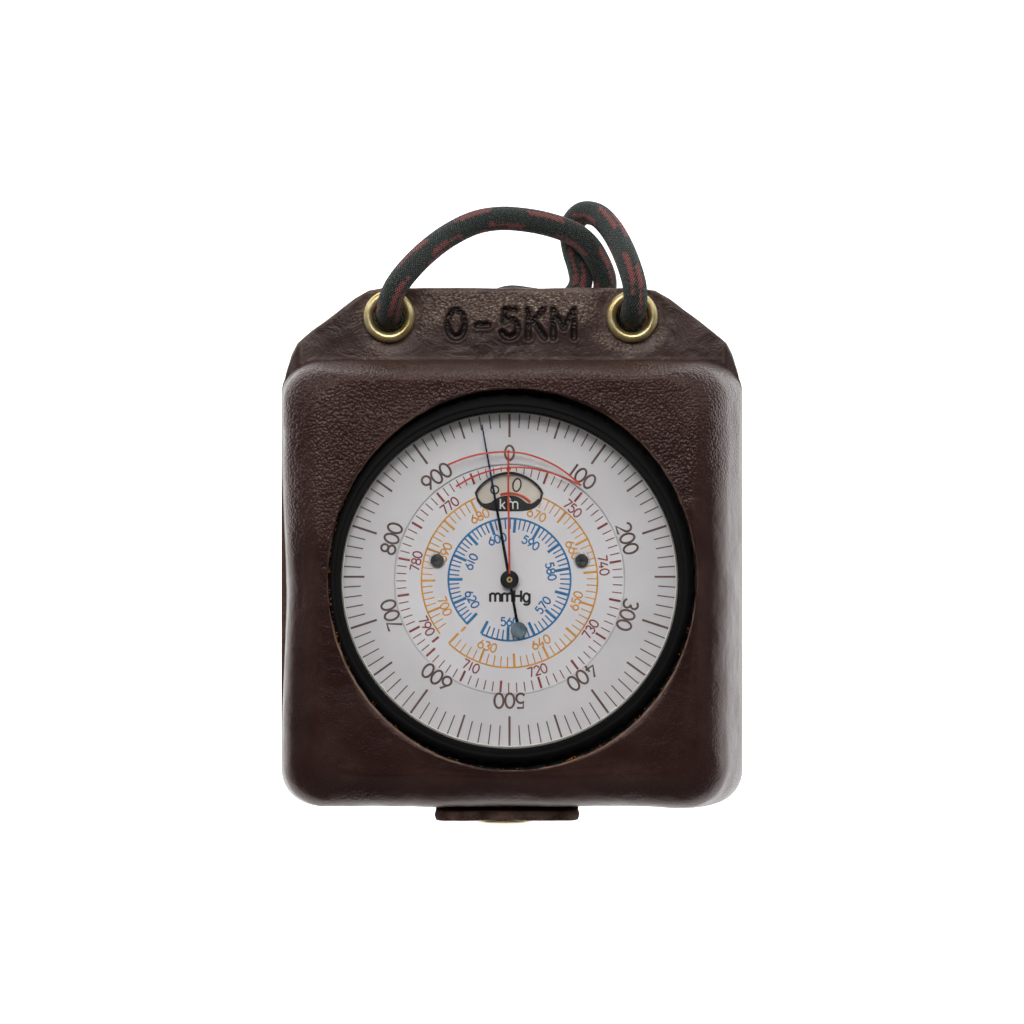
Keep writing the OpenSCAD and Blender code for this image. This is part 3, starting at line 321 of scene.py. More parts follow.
def cutLeatherFinish(name, tones, fibreMm):
    # a knife-cut or flesh side: matt, fibrous, no grain layer
    made, tree, shader = newMaterial(name, {"Roughness": 0.9, "Specular IOR Level": 0.25})
    place = addNode(tree, "ShaderNodeTexCoord").outputs["Object"]
    stretch = addNode(tree, "ShaderNodeMapping", {"Vector": place, "Scale": (1.0, 1.0, 3.0)}).outputs[0]
    fibres = noiseOf(tree, stretch, fibreMm, 6.0, {"Roughness": 0.7, "Distortion": 0.8})
    both = maths(tree, "MULTIPLY", maths(tree, "ADD", fibres, noiseOf(tree, place, 3, 3.0)), 0.5)
    dyed = addRamp(tree, both, [(0.36, tones[0]), (0.5, tones[1]), (0.66, tones[2])])
    feed(tree, shader, {
        "Base Color": mixed(tree, attributeOf(tree, "wearAndHighlight"), dyed, linear("#a58674")),
        "Normal": bumped(tree, fibres, 0.12, 0.9),
    })
    return made


def madeFinish(name, tones, roughness, metallic, mottleMm, grainMm, grainHeightMm, values=None, lines=None):
    # metals, paints and plastics: colour wavers between two tones, and a fine relief says how it was made
    made, tree, shader = newMaterial(name, {"Metallic": metallic, **(values or {})})
    place = addNode(tree, "ShaderNodeTexCoord").outputs["Object"]
    mottle = noiseOf(tree, place, mottleMm, 5.0)
    if lines:  # brushed: the grain is drawn out along one axis
        place = addNode(tree, "ShaderNodeMapping", {"Vector": place, "Scale": lines}).outputs[0]
    feed(tree, shader, {
        "Base Color": addRamp(tree, mottle, [(0.32, tones[0]), (0.68, tones[1])]),
        "Roughness": remapped(tree, mottle, 0.3, 0.7, roughness * 0.8, roughness * 1.25),
        "Normal": bumped(tree, noiseOf(tree, place, grainMm, 3.0), grainHeightMm, 0.8),
    })
    return made


def printingInk(name, tones, roughness=0.6):
    # a few hundredths of a millimetre thick, half matt
    return madeFinish(name, tones, roughness, 0.0, 3.0, 0.12, 0.004)


grainLeather = leatherFinish(
    "waxedBrownLeather", ["#341d19", "#3f2521", "#4a2d28", "#6e4e46"], 0.31, 0.43, 0.22, 0.12
)
lugLeather = leatherFinish(
    "pressedBrownLeather", ["#3c2a28", "#493633", "#58433f", "#8c766a"], 0.33, 0.5, 0.26, 0.3
)
cutLeather = cutLeatherFinish("cutLeatherEdge", ["#2a1a16", "#4a342e", "#7a5c4e"], 0.35)
fleshLeather = cutLeatherFinish("suedeFleshSide", ["#3a2419", "#4e3324", "#6a4a35"], 0.6)
fibreLeather = cutLeatherFinish("looseLeatherFibre", ["#5a3018", "#8a5026", "#b87838"], 0.2)
brassFinish = madeFinish("rolledBrass", ["#a88838", "#ccb264"], 0.3, 1.0, 3.0, 0.22, 0.012)
eyeletBrass = madeFinish("pressedEyeletBrass", ["#e6cc84", "#fdeebc"], 0.34, 0.85, 2.2, 0.2, 0.014)
studBrass = madeFinish("tarnishedStudBrass", ["#4a3a1c", "#7a6230"], 0.42, 1.0, 1.4, 0.2, 0.02)
capBrass = madeFinish("polishedCapBrass", ["#f2e2be", "#fff2d4"], 0.42, 0.6, 4.0, 0.3, 0.008)
movementBrass = madeFinish(
    "lathedMovementBrass", ["#c2a052", "#d6b868"], 0.3, 1.0, 6.0, 0.15, 0.006, lines=(1, 12, 1)
)
steelFinish = madeFinish("groundSteel", ["#8f9296", "#b4b7ba"], 0.3, 1.0, 4.0, 0.12, 0.005, lines=(10, 1, 1))
darkScrewSteel = madeFinish("oxidisedScrewSteel", ["#2e2e2e", "#585858"], 0.5, 0.6, 1.2, 0.12, 0.02)
bezelEnamel = madeFinish(
    "satinBlackEnamel", ["#191818", "#212020"], 0.75, 0.0, 7.0, 0.16, 0.012, {"Specular IOR Level": 0.12}
)
housingPaint = madeFinish("crackleBlackPaint", ["#080808", "#121212"], 0.6, 0.0, 5.0, 0.4, 0.05)
ringPaint = madeFinish(
    "satinRingPaint", ["#c9c6c7", "#d1cfd0"], 0.6, 0.0, 9.0, 0.3, 0.014, {"Specular IOR Level": 0.3}
)
dialPaint = madeFinish(
    "mattWhiteDialPaint", ["#d2cfd0", "#d9d7d8"], 0.6, 0.0, 9.0, 0.3, 0.014, {"Specular IOR Level": 0.3}
)
discPaint = madeFinish("creamDiscPaint", ["#c8bfb0", "#d2c9bc"], 0.6, 0.0, 5.0, 0.3, 0.01)
reflectorPaint = madeFinish("creamReflectorRing", ["#b4b1ae", "#c0beba"], 0.45, 0.0, 6.0, 0.2, 0.006)
pointerBlue = madeFinish("blackBluedPointer", ["#101c30", "#233e62"], 0.35, 0.4, 5.0, 0.1, 0.004)
# the heat colour only shows towards the tip, and the hub end and tail are nearly black
pointerTree = pointerBlue.node_tree
pointerShader = pointerTree.nodes["Principled BSDF"]
pointerPlace = addNode(pointerTree, "ShaderNodeTexCoord").outputs["Object"]
pointerFlat = addNode(
    pointerTree, "ShaderNodeVectorMath", {0: pointerPlace, 1: (1.0, 1.0, 0.0)}, operation="MULTIPLY"
)
pointerOut = addNode(pointerTree, "ShaderNodeVectorMath", {0: pointerFlat.outputs[0]}, operation="LENGTH")
pointerShare = remapped(pointerTree, pointerOut.outputs["Value"], 0.012, 0.017)
blued = pointerShader.inputs["Base Color"].links[0].from_socket
feed(pointerTree, pointerShader, {"Base Color": mixed(pointerTree, pointerShare, linear("#0e1014"), blued)})
hubBlack = madeFinish("blackHubLacquer", ["#101012", "#1c1c20"], 0.35, 0.0, 2.0, 0.1, 0.006)
springBlue = madeFinish("temperedSpringSteel", ["#34486e", "#4f6a9a"], 0.28, 1.0, 1.5, 0.08, 0.003)
rubyFinish = madeFinish("syntheticRuby", ["#8e1a34", "#c03a54"], 0.08, 0.0, 1.0, 0.2, 0.002, {"IOR": 1.77})
capsuleSilver = madeFinish("silveredCapsuleBronze", ["#9fa2a5", "#c6c8ca"], 0.3, 1.0, 5.0, 0.14, 0.006)
bimetalFinish = madeFinish("steelBrassStrip", ["#a88446", "#9a9a90"], 0.35, 1.0, 1.0, 0.12, 0.006)

inkBrown = printingInk("darkBrownInk", ["#553f3b", "#6b534d"])
inkRed = printingInk("redBrownInk", ["#7e3232", "#964642"])
inkOrange = printingInk("orangeInk", ["#cf8a26", "#e0a044"])
inkBlue = printingInk("blueInk", ["#1c6298", "#3380b6"])
inkBlack = printingInk("blackInk", ["#141414", "#222222"], 0.5)
inkWhite = printingInk("whiteInk", ["#d8d8d4", "#ecece8"])
indexRed = printingInk("scarletIndexInk", ["#bc3a22", "#cf4c32"], 0.5)

# acrylic crystal: clear all through, and lamps reach the dial behind it
crystalClear = bpy.data.materials.new("clearAcrylicCrystal")
crystalClear.use_nodes = True
crystalTree = crystalClear.node_tree
crystalTree.nodes.remove(crystalTree.nodes["Principled BSDF"])
crystalGlass = addNode(crystalTree, "ShaderNodeBsdfGlass", {"Roughness": 0.0, "IOR": 1.2})
crystalOpen = addNode(crystalTree, "ShaderNodeBsdfTransparent")
crystalRay = addNode(crystalTree, "ShaderNodeLightPath")
crystalMix = addNode(
    crystalTree, "ShaderNodeMixShader",
    {0: crystalRay.outputs["Is Shadow Ray"], 1: crystalGlass.outputs[0], 2: crystalOpen.outputs[0]},
)
crystalTree.links.new(crystalMix.outputs[0], crystalTree.nodes["Material Output"].inputs["Surface"])

cordFinish, cordTree, cordShader = newMaterial(
    "braidedPolyesterCord",
    {"Roughness": 0.85, "Sheen Weight": 0.15, "Sheen Roughness": 0.5, "Specular IOR Level": 0.2},
)
# spun yarn in small picks, each in its own tone, with slanting brick-red stitches;
# painted shade darkens the gaps between the picks and a painted highlight lifts their crowns
cordUv = addNode(cordTree, "ShaderNodeUVMap", uv_map="braid").outputs[0]
cordSplit = addNode(cordTree, "ShaderNodeSeparateXYZ", {0: cordUv})


def cordWave(operation):
    # high on the threads that lean one way, low between them: it drives the painted shade, the relief and the
    # stitches
    slant = maths(cordTree, operation, cordSplit.outputs["X"], cordSplit.outputs["Y"])
    wave = maths(cordTree, "COSINE", maths(cordTree, "MULTIPLY", slant, math.pi))
    return maths(cordTree, "ABSOLUTE", wave)


def cordNoise(**inputs):
    return addNode(cordTree, "ShaderNodeTexNoise", {"Vector": cordUv, **inputs}).outputs["Fac"]


cordRight = cordWave("ADD")
cordPick = maths(cordTree, "MULTIPLY", cordRight, cordWave("SUBTRACT"))
cordSpun = cordNoise(Scale=3.2, Detail=6.0, Roughness=0.7)
cordYarn = cordNoise(Scale=1.6, Detail=2.0)
cordStitch = remapped(cordTree, cordRight, 0.15, 0.5)
cordTraced = maths(cordTree, "MULTIPLY", attributeOf(cordTree, "tracer"), cordStitch)
cordGreen = addRamp(cordTree, cordYarn, [(0.32, "#2a2f2c"), (0.5, "#3d4440"), (0.68, "#636a65")])
cordRed = addRamp(cordTree, cordSpun, [(0.3, "#7c3d3c"), (0.7, "#c07672")])
cordColour = mixed(cordTree, cordTraced, cordGreen, cordRed)
# painted shade between the picks and painted highlight on their crowns, times a random tone of the spun yarn
cordShadeAndHighlight = remapped(cordTree, cordPick, 0.0, 0.6, 0.2, 1.3)
cordToneAndShade = maths(cordTree, "MULTIPLY", cordShadeAndHighlight, remapped(cordTree, cordSpun, 0.3, 0.7, 0.6, 1.35))
cordRelief = maths(cordTree, "MULTIPLY_ADD", cordSpun, 0.5, cordPick)
feed(cordTree, cordShader, {
    "Base Color": mixed(cordTree, 1.0, cordColour, cordToneAndShade, blend_type="MULTIPLY"),
    "Normal": bumped(cordTree, cordRelief, 0.11),
})
print("materials made:", len(bpy.data.materials))


# the carrying cord and its stopper knots
cordShape = {
    "diameter": 4.4,
    "sides": 112,       # points round the cord
    "picks": 28,        # braid cells round the cord
    "pickLength": 0.48,
    "relief": 0.03,     # how far a pick stands out
    "tracerEvery": 13.8,
    "tracerLength": 7.3,
    "tracerWidth": 0.03,  # half of it, as a share of the way round
    "tracerTwist": 0.014,  # share of a turn that a tracer drifts in one diameter of length
    # where each tracer is round the cord, and where it starts
    "tracers": ((0.07, 0.0), (0.18, 0.2), (0.4, 0.55), (0.51, 0.75), (0.73, 0.3), (0.84, 0.5)),
    "route": [
        (-22, 47.9, 6.5), (-22, 47.9, 9), (-22, 48.1, 12), (-22, 48.8, 15), (-21.6, 50.6, 17.4),
        (-20.4, 53.2, 18), (-18.2, 56.2, 16.8), (-15, 59.6, 14.4), (-11, 62.8, 11.8),
        (-6.4, 65.2, 9.8), (-1.8, 66.1, 8.6), (2.8, 65.9, 7.8), (7.2, 65.1, 7.2),
        (11.5, 63.6, 6.9), (14.4, 61.4, 6.2), (16.3, 58.6, 4.8), (17.6, 55.4, 3.2),
        (17.4, 52.4, 2.4), (15.6, 49.2, 2.3), (12.4, 46.4, 2.3), (8, 44.4, 2.3), (3, 43.6, 2.3),
        (-1.8, 44.4, 2.3), (-4.4, 47.2, 2.3), (-3.6, 50.4, 2.3), (-0.2, 52, 2.3),
        (4.2, 51.6, 2.3), (8.4, 51, 2.3), (11.6, 52, 2.3), (13.2, 54.6, 2.3), (12.9, 57.4, 2.3),
        (12, 60.4, 2.3), (11.5, 63.4, 2.3), (11.8, 65.8, 2.4), (13.6, 67.5, 3.2), (16.2, 67, 5),
        (18.4, 64.6, 8), (20.2, 61.2, 11.6), (21.6, 57.4, 15.2), (22.6, 53.6, 17.6),
        (22.8, 50.6, 17.6), (22.5, 48.8, 15.4), (22.4, 48.1, 12.2), (22.4, 47.9, 9),
        (22.4, 47.9, 6.5),
    ],
}


def braidedTube(name, line, shape, spacing=0.3):
    line = np.asarray(line, float)
    gone = runLength(line)
    count = int(gone[-1] / spacing)
    at = np.linspace(0, gone[-1], count + 1)
    path = np.stack([np.interp(at, gone, line[:, k]) for k in range(3)], 1)
    path[1:-1] = (path[:-2] + 2 * path[1:-1] + path[2:]) / 4
    ahead = np.gradient(path, axis=0)
    ahead /= np.linalg.norm(ahead, axis=1, keepdims=True)
    side = np.array([1.0, 0.0, 0.0])
    sides, picks = shape["sides"], shape["picks"]
    turn = np.arange(sides) / sides
    points, tracers = [], []
    for place, along, level in zip(path, ahead, at):
        side = side - along * (side @ along)
        side /= np.linalg.norm(side)
        other = np.cross(along, side)
        a, b = turn * picks, level / shape["pickLength"]
        weave = np.cos(math.pi * (a + b)) * np.cos(math.pi * (a - b))
        height = np.abs(weave) ** 0.6
        radius = shape["diameter"] / 2 - shape["relief"] * (1 - height)
        ring = place + radius[:, None] * (
            np.cos(2 * math.pi * turn)[:, None] * side + np.sin(2 * math.pi * turn)[:, None] * other
        )
        # the pick that each point belongs to, and where its middle is
        rightPick, leftPick = np.round((a + b) / 2) * 2, np.round((a - b) / 2) * 2
        pickTurn = (rightPick + leftPick) / 2 / picks
        pickLevel = (rightPick - leftPick) / 2 * shape["pickLength"]
        mask = np.zeros(sides)
        for centre, phase in shape["tracers"]:
            drift = centre + shape["tracerTwist"] * pickLevel / shape["diameter"]
            away = (pickTurn - drift + 0.5) % 1 - 0.5
            run = (pickLevel / shape["tracerEvery"] + phase) % 1
            beside = np.abs(away) < shape["tracerWidth"]
            mask = np.maximum(mask, beside & (run * shape["tracerEvery"] < shape["tracerLength"]))
        points.append(ring)
        tracers.append(mask)
    points = np.concatenate(points)
    rings = len(path)
    faces = bandFaces(rings, sides, closed=False)
    ends = [path[0], path[-1]]
    base = len(points)
    points = np.vstack([points, ends])
    fans = [(base, (j + 1) % sides, j) for j in range(sides)]
    last = (rings - 1) * sides
    fans += [(base + 1, last + j, last + (j + 1) % sides) for j in range(sides)]
    made = meshPiece(
        name, points, faces + fans, [cordFinish],
        attributes={"tracer": np.append(np.concatenate(tracers), [0, 0])},
    )
    layer = made.data.uv_layers.new(name="braid")
    corners = np.zeros(len(made.data.loops) * 2)
    step = at / shape["pickLength"]
    for index, polygon in enumerate(made.data.polygons):
        j = index % sides if index < len(faces) else 0
        for loop in polygon.loop_indices:
            vertex = made.data.loops[loop].vertex_index
            if vertex >= base:
                corners[2 * loop : 2 * loop + 2] = (0, step[0 if vertex == base else -1])
                continue
            column = vertex % sides
            around = column + (sides if j == sides - 1 and column == 0 and index < len(faces) else 0)
            corners[2 * loop : 2 * loop + 2] = (around / sides * picks, step[vertex // sides])
    layer.data.foreach_set("uv", corners)
    return made, path


carryCord, cordPath = braidedTube("carryCord", catmull(cordShape["route"], 12), cordShape)
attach(carryCord, "case")
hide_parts("lanyard")

# a knot winds out and in again while it goes down
knotShape = {
    "wrapRadius": 2.1, "turns": 2.05, "top": 4.35, "fall": 1.35, "points": 90, "diameter": 4.0, "sides": 40,
}
for knotName, cadName, end in (("leftStopperKnot", "left_knot", 0), ("rightStopperKnot", "right_knot", -1)):
    place = cordShape["route"][end]
    line = []
    for t in np.arange(knotShape["points"]) / (knotShape["points"] - 1):
        angle = 2 * math.pi * knotShape["turns"] * t
        out = knotShape["wrapRadius"] * (0.35 + 0.65 * min(1, 4 * t, 4 * (1 - t)))
        level = knotShape["top"] - knotShape["fall"] * t
        line.append((place[0] + out * math.cos(angle), place[1] + out * math.sin(angle), level))
    thinner = {**cordShape, "sides": knotShape["sides"], "diameter": knotShape["diameter"]}
    knot, _ = braidedTube(knotName, line, thinner, spacing=0.35)
    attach(knot, "case")
    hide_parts(cadName)

# the front of the case
caseShape = {
    "halfWidth": 42.3, "top": 40.8, "bottom": 41.5, "shiftX": 0.45,
    "seam": 9.8, "height": 27.0, "thick": 2.2, "topCorner": 7.0, "lowCorner": 6.5, "frontCorner": 8.0,
    "openingWidth": 66.0, "openingHeight": 68.4, "rays": 480,
    "lean": 0.8, "waist": 0.8, "ceiling": 26.98,  # the face leans to the left, and the left side is drawn in
    # share of the height, then how far the left, top, bottom and right walls have come in
    "outside": [(0, 0, 0.6, 0, 0), (0.302, 0.7, 1.15, 0.2, 1.0), (0.523, 1.2, 1.45, 0.3, 1.85),
                (0.68, 1.65, 1.9, 0.5, 2.6), (0.76, 2.05, 2.3, 0.9, 3.2), (0.83, 2.7, 2.75, 1.6, 4.0),
                (0.885, 3.7, 3.15, 2.6, 4.9), (0.93, 5.0, 3.6, 3.8, 5.9), (0.97, 6.6, 4.15, 5.2, 7.2),
                (1, 8.3, 4.9, 6.6, 8.6)],
    "inside": [(1, 6.7, 3.7, 4.4), (0.967, 5.7, 2.8, 3.3), (0.853, 4.8, 1.9, 1.6), (0.6, 3.3, 0.9, 0.3),
               (0.347, 1.9, 0.6, 0.3), (0.107, 0.7, 0.35, 0.3), (0, 0, 0, 0)],
    # height and size in millimetres, and a seed
    "dents": [(0.4, 14, 1), (0.13, 4.5, 2), (0.045, 1.6, 3)], "raggedEdge": [(0.1, 0.7, 4), (0.12, 2.4, 5)],
}
leatherSides = [grainLeather, cutLeather, fleshLeather]
rays = np.arange(caseShape["rays"]) * 2 * math.pi / caseShape["rays"]


def caseRing(row, base, height, thick):
    s = caseShape
    share, left, top, bottom = row[:4]
    right = row[4] if len(row) > 4 else left
    halfWidth = s["halfWidth"] - thick - np.where(np.cos(rays) > 0, right, left)
    upper = np.sin(rays) >= 0
    reachY = np.where(upper, s["top"] - thick - top, s["bottom"] - thick - bottom)
    corner = np.where(
        upper, s["topCorner"] - thick / 2,
        s["lowCorner"] - thick / 2 + share * (s["frontCorner"] - s["lowCorner"]),
    )
    c, t = np.abs(np.cos(rays)), np.abs(np.sin(rays))
    cx, cy = halfWidth - corner, reachY - corner
    along = cx * c + cy * t
    curved = along + np.sqrt(np.maximum(along**2 - cx**2 - cy**2 + corner**2, 0))
    far = np.where(
        t * halfWidth <= c * cy, halfWidth / np.maximum(c, 1e-9),
        np.where(c * reachY <= t * cx, reachY / np.maximum(t, 1e-9), curved),
    )
    return np.stack(
        [s["shiftX"] + far * np.cos(rays), far * np.sin(rays), np.full(len(rays), base + share * height)], 1
    )


def openingRing(level, grow=0.0):
    s = caseShape
    a, b = s["openingWidth"] / 2 + grow, s["openingHeight"] / 2 + grow
    far = a * b / np.sqrt((b * np.cos(rays)) ** 2 + (a * np.sin(rays)) ** 2)
    return np.stack([s["shiftX"] + far * np.cos(rays), far * np.sin(rays), np.full(len(rays), level)], 1)


def frontShell():
    s = caseShape
    front = s["height"] - s["seam"]
    walls = [caseRing(row, s["seam"], front, 0) for row in catmull(s["outside"], 6)]
    shoulder, lip = walls[-1], openingRing(s["height"])
    face = []
    # the hollow is as deep as the face is wide there
    back = np.clip(np.linalg.norm((lip - shoulder)[:, :2], axis=1) / 7, 0, 1) ** 2
    hollow = back * (0.12 + 0.3 * np.clip(np.sin(rays), 0, 1))
    for t in np.linspace(0, 1, 20)[1:-1]:
        ring = shoulder * (1 - t) + lip * t
        # hollow between the moulded edge and the lip, most of all at the back
        ring[:, 2] = s["height"] - hollow * math.sin(math.pi * t) ** 2 - 0.12 * back * t**4
        face.append(ring)
    edge = [openingRing(s["height"] - drop, grow) for drop, grow in
            ((0.2, 0.25), (0.36, 0.06), (0.65, -0.05), (1.2, -0.08), (1.7, 0.0), (2.2, 0.12))]
    under = [caseRing(row, s["seam"], front - s["thick"], s["thick"]) for row in catmull(s["inside"], 4)]
    rings = walls + face + edge + under
    count = len(rays)
    points = np.concatenate(rings)
    faces = bandFaces(len(rings), count, closed=True)
    outer = len(walls) + len(face)
    # grain side without, cut side at the opening and the foot, flesh side within
    cutRings = [*range(outer, outer + len(edge) - 1), len(rings) - 1]
    slotOf = np.repeat([0 if i < outer else 1 if i in cutRings else 2 for i in range(len(rings))], count)
    normals = solveNormals(points, faces)
    ringOf = np.repeat(np.arange(len(rings)), count)
    # hand-moulded leather is never quite flat: broad dents, then a finer pull
    free = smoothStep(ringOf, 1, 6) * (1 - smoothStep(ringOf, outer - 2, outer + 1)) * (ringOf < outer)
    points = points + normals * (free * dented(points, s["dents"]))[:, None]
    risen = smoothStep(points[:, 2], s["seam"], s["height"] - 2)
    onBody = (ringOf < outer) * (1 - smoothStep(ringOf, len(walls), outer - 1))
    points[:, 0] -= s["lean"] * risen * onBody
    left = smoothStep(-points[:, 0], 20, 40) * (1 - smoothStep(ringOf, len(walls) - 16, len(walls) - 2))
    points[:, 0] += s["waist"] * left * bell(points[:, 1], -3, 17)
    # the leather never stands above the case's height
    points[:, 2] = s["ceiling"] - 0.08 * np.log1p(np.exp((s["ceiling"] - points[:, 2]) / 0.08))
    ragged = ((ringOf >= outer) & (ringOf < outer + len(edge))) * 1.0
    points = points + normals * (ragged * dented(points, s["raggedEdge"]))[:, None]
    lowRim = (ringOf < 3) | (ringOf > len(rings) - 3)
    points[:, 2] += lowRim * 0.06 * ripple(points, 5, 6)
    bend = smoothStep(ringOf, len(walls) - 14, len(walls) - 2)
    bend = bend * (1 - smoothStep(ringOf, len(walls) + 2, len(walls) + 8))
    wearAndHighlight = np.clip(
        0.4 * bend * (0.6 + ripple(points, 6, 7)) + 0.4 * (ringOf < 2)
        + 0.6 * smoothStep(ringOf, outer - 2, outer) * (ringOf < outer + 2), 0, 1,
    ) * (0.6 + 0.4 * ripple(points, 1.1, 8))
    # the cut edge is rubbed pale along the lower half of the opening
    wearAndHighlight += 0.8 * ragged * smoothStep(-points[:, 1], -4, 14) * (0.6 + 0.6 * ripple(points, 1.5, 10))
    wearAndHighlight = np.clip(wearAndHighlight, 0, 1)
    # the grain stands up at the back, is half worn down at the sides and gone at the front
    y = points[:, 1]
    fromY = 4 + 10 * smoothStep(points[:, 0], -10, 10)
    flattened = 0.92 - 0.9 * smoothStep(y, fromY - 5, fromY + 12) * (
        0.7 + 0.3 * smoothStep(ringOf, len(walls) - 8, len(walls))
    )
    flattened = np.clip(flattened + 0.12 * ripple(points, 8, 9) + 0.25 * bend * (y < 34), 0, 1)
    return meshPiece(
        "frontShell", points, faces, leatherSides, slotOf,
        attributes={"wearAndHighlight": wearAndHighlight, "flattened": flattened},
    )


shell = frontShell()
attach(shell, "case")
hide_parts("case_shell")
print("front shell formed:", len(shell.data.polygons), "faces")

# the lug: a front layer with its stamped range, and a backing layer
lugShape = {
    "top": 53.2, "surface": 12.0, "seam": 9.8, "backing": 7.6, "eyelets": [(-22.0, 47.9), (22.4, 47.9)],
    "hole": 3.9, "stampDepth": 0.6, "stampStroke": 0.95, "stampHeight": 5.0,
    "dents": [(0.2, 9, 11), (0.1, 3, 12)],
    "stamp": [("0", -9.8), ("-", -4.9), ("5", 0.1), ("K", 4.9), ("M", 9.9)], "stampY": 46.6,
}


def bow(cx, cy, rx, ry, start, end, steps=14):
    return [
        (cx + rx * math.cos(math.radians(start + (end - start) * k / steps)),
         cy + ry * math.sin(math.radians(start + (end - start) * k / steps)))
        for k in range(steps + 1)
    ]


six = [(0.42, 1.0), (0.07, 0.5)] + bow(0.3, 0.31, 0.3, 0.31, 142, 502, 24)
# engraver's single-stroke characters: width, then the strokes in a box one unit high
characters = {
    "0": (0.62, [bow(0.31, 0.5, 0.31, 0.5, 90, 450, 28)]),
    "1": (0.34, [[(0.17, 1.0), (0.17, 0.0)]]),
    "2": (0.6, [bow(0.3, 0.7, 0.29, 0.3, 165, -38) + [(0.02, 0.0), (0.6, 0.0)]]),
    "3": (0.58, [bow(0.27, 0.755, 0.25, 0.245, 155, -80, 12) + bow(0.27, 0.255, 0.3, 0.255, 80, -155)]),
    "4": (0.62, [[(0.38, 1.0), (0.0, 0.27), (0.62, 0.27)], [(0.45, 0.5), (0.45, 0.0)]]),
    "5": (0.58, [[(0.52, 1.0), (0.1, 1.0), (0.06, 0.56)] + bow(0.27, 0.33, 0.3, 0.33, 125, -150)]),
    "6": (0.6, [six]),
    "7": (0.56, [[(0.0, 1.0), (0.56, 1.0), (0.2, 0.0)]]),
    "8": (0.6, [bow(0.3, 0.75, 0.25, 0.25, -90, 270, 22), bow(0.3, 0.26, 0.3, 0.26, 90, 450, 24)]),
    "9": (0.6, [[(0.6 - x, 1 - y) for x, y in six]]),
    "m": (0.9, [[(0, 0), (0, 0.74)], bow(0.22, 0.52, 0.22, 0.22, 180, 0, 10) + [(0.44, 0)],
                bow(0.66, 0.52, 0.22, 0.22, 180, 0, 10) + [(0.88, 0)]]),
    "H": (0.64, [[(0, 0), (0, 1)], [(0.6, 0), (0.6, 1)], [(0, 0.52), (0.6, 0.52)]]),
    "g": (0.58, [bow(0.27, 0.37, 0.27, 0.37, 0, 360, 20),
                 [(0.54, 0.74), (0.54, -0.05)] + bow(0.27, -0.05, 0.27, 0.2, 0, -150, 10)]),
    "k": (0.5, [[(0, 0), (0, 1)], [(0.42, 0.72), (0.02, 0.3)], [(0.16, 0.43), (0.46, 0)]]),
    "K": (0.6, [[(0, 0), (0, 1)], [(0.56, 1), (0.02, 0.42)], [(0.2, 0.6), (0.6, 0)]]),
    "M": (0.76, [[(0, 0), (0, 1), (0.38, 0.35), (0.76, 1), (0.76, 0)]]),
    "-": (0.44, [[(0.02, 0.45), (0.42, 0.45)]]),
}


def lugEdge(xs):
    # height of the lug's outline over x, from its corners rounded one by one
    s = lugShape
    x = np.abs(np.asarray(xs) - caseShape["shiftX"])
    knots = [(0, s["top"]), (23.5, s["top"]), (26.2, s["top"] - 0.4), (28.7, s["top"] - 1.9), (32.6, 48.4),
             (36.6, 45.4), (39.3, 43.1), (40.4, 41.0), (41.5, 37.6), (42.2, 33.2)]
    kx, ky = np.array(knots).T
    return np.interp(x, kx, ky)


def stampDrop(points):
    # depth of the struck characters under each point, with a soft shoulder
    s = lugShape
    segments = []
    for letter, x in s["stamp"]:
        width, strokes = characters[letter]
        for stroke in strokes:
            placed = [(x + (px - width / 2) * s["stampHeight"], s["stampY"] + (py - 0.5) * s["stampHeight"])
                      for px, py in stroke]
            segments += list(zip(placed[:-1], placed[1:]))
    near = np.full(len(points), 99.0)
    for (ax, ay), (bx, by) in segments:
        along = np.array([bx - ax, by - ay])
        t = np.clip(((points[:, :2] - (ax, ay)) @ along) / max(along @ along, 1e-9), 0, 1)
        near = np.minimum(near, np.linalg.norm(points[:, :2] - (ax, ay) - t[:, None] * along, axis=1))
    struck = 1 - smoothStep(near, s["stampStroke"] * 0.3, s["stampStroke"] * 0.85)
    raised = bell(near, s["stampStroke"], 0.22)
    return s["stampDepth"] * struck - 0.1 * raised, struck


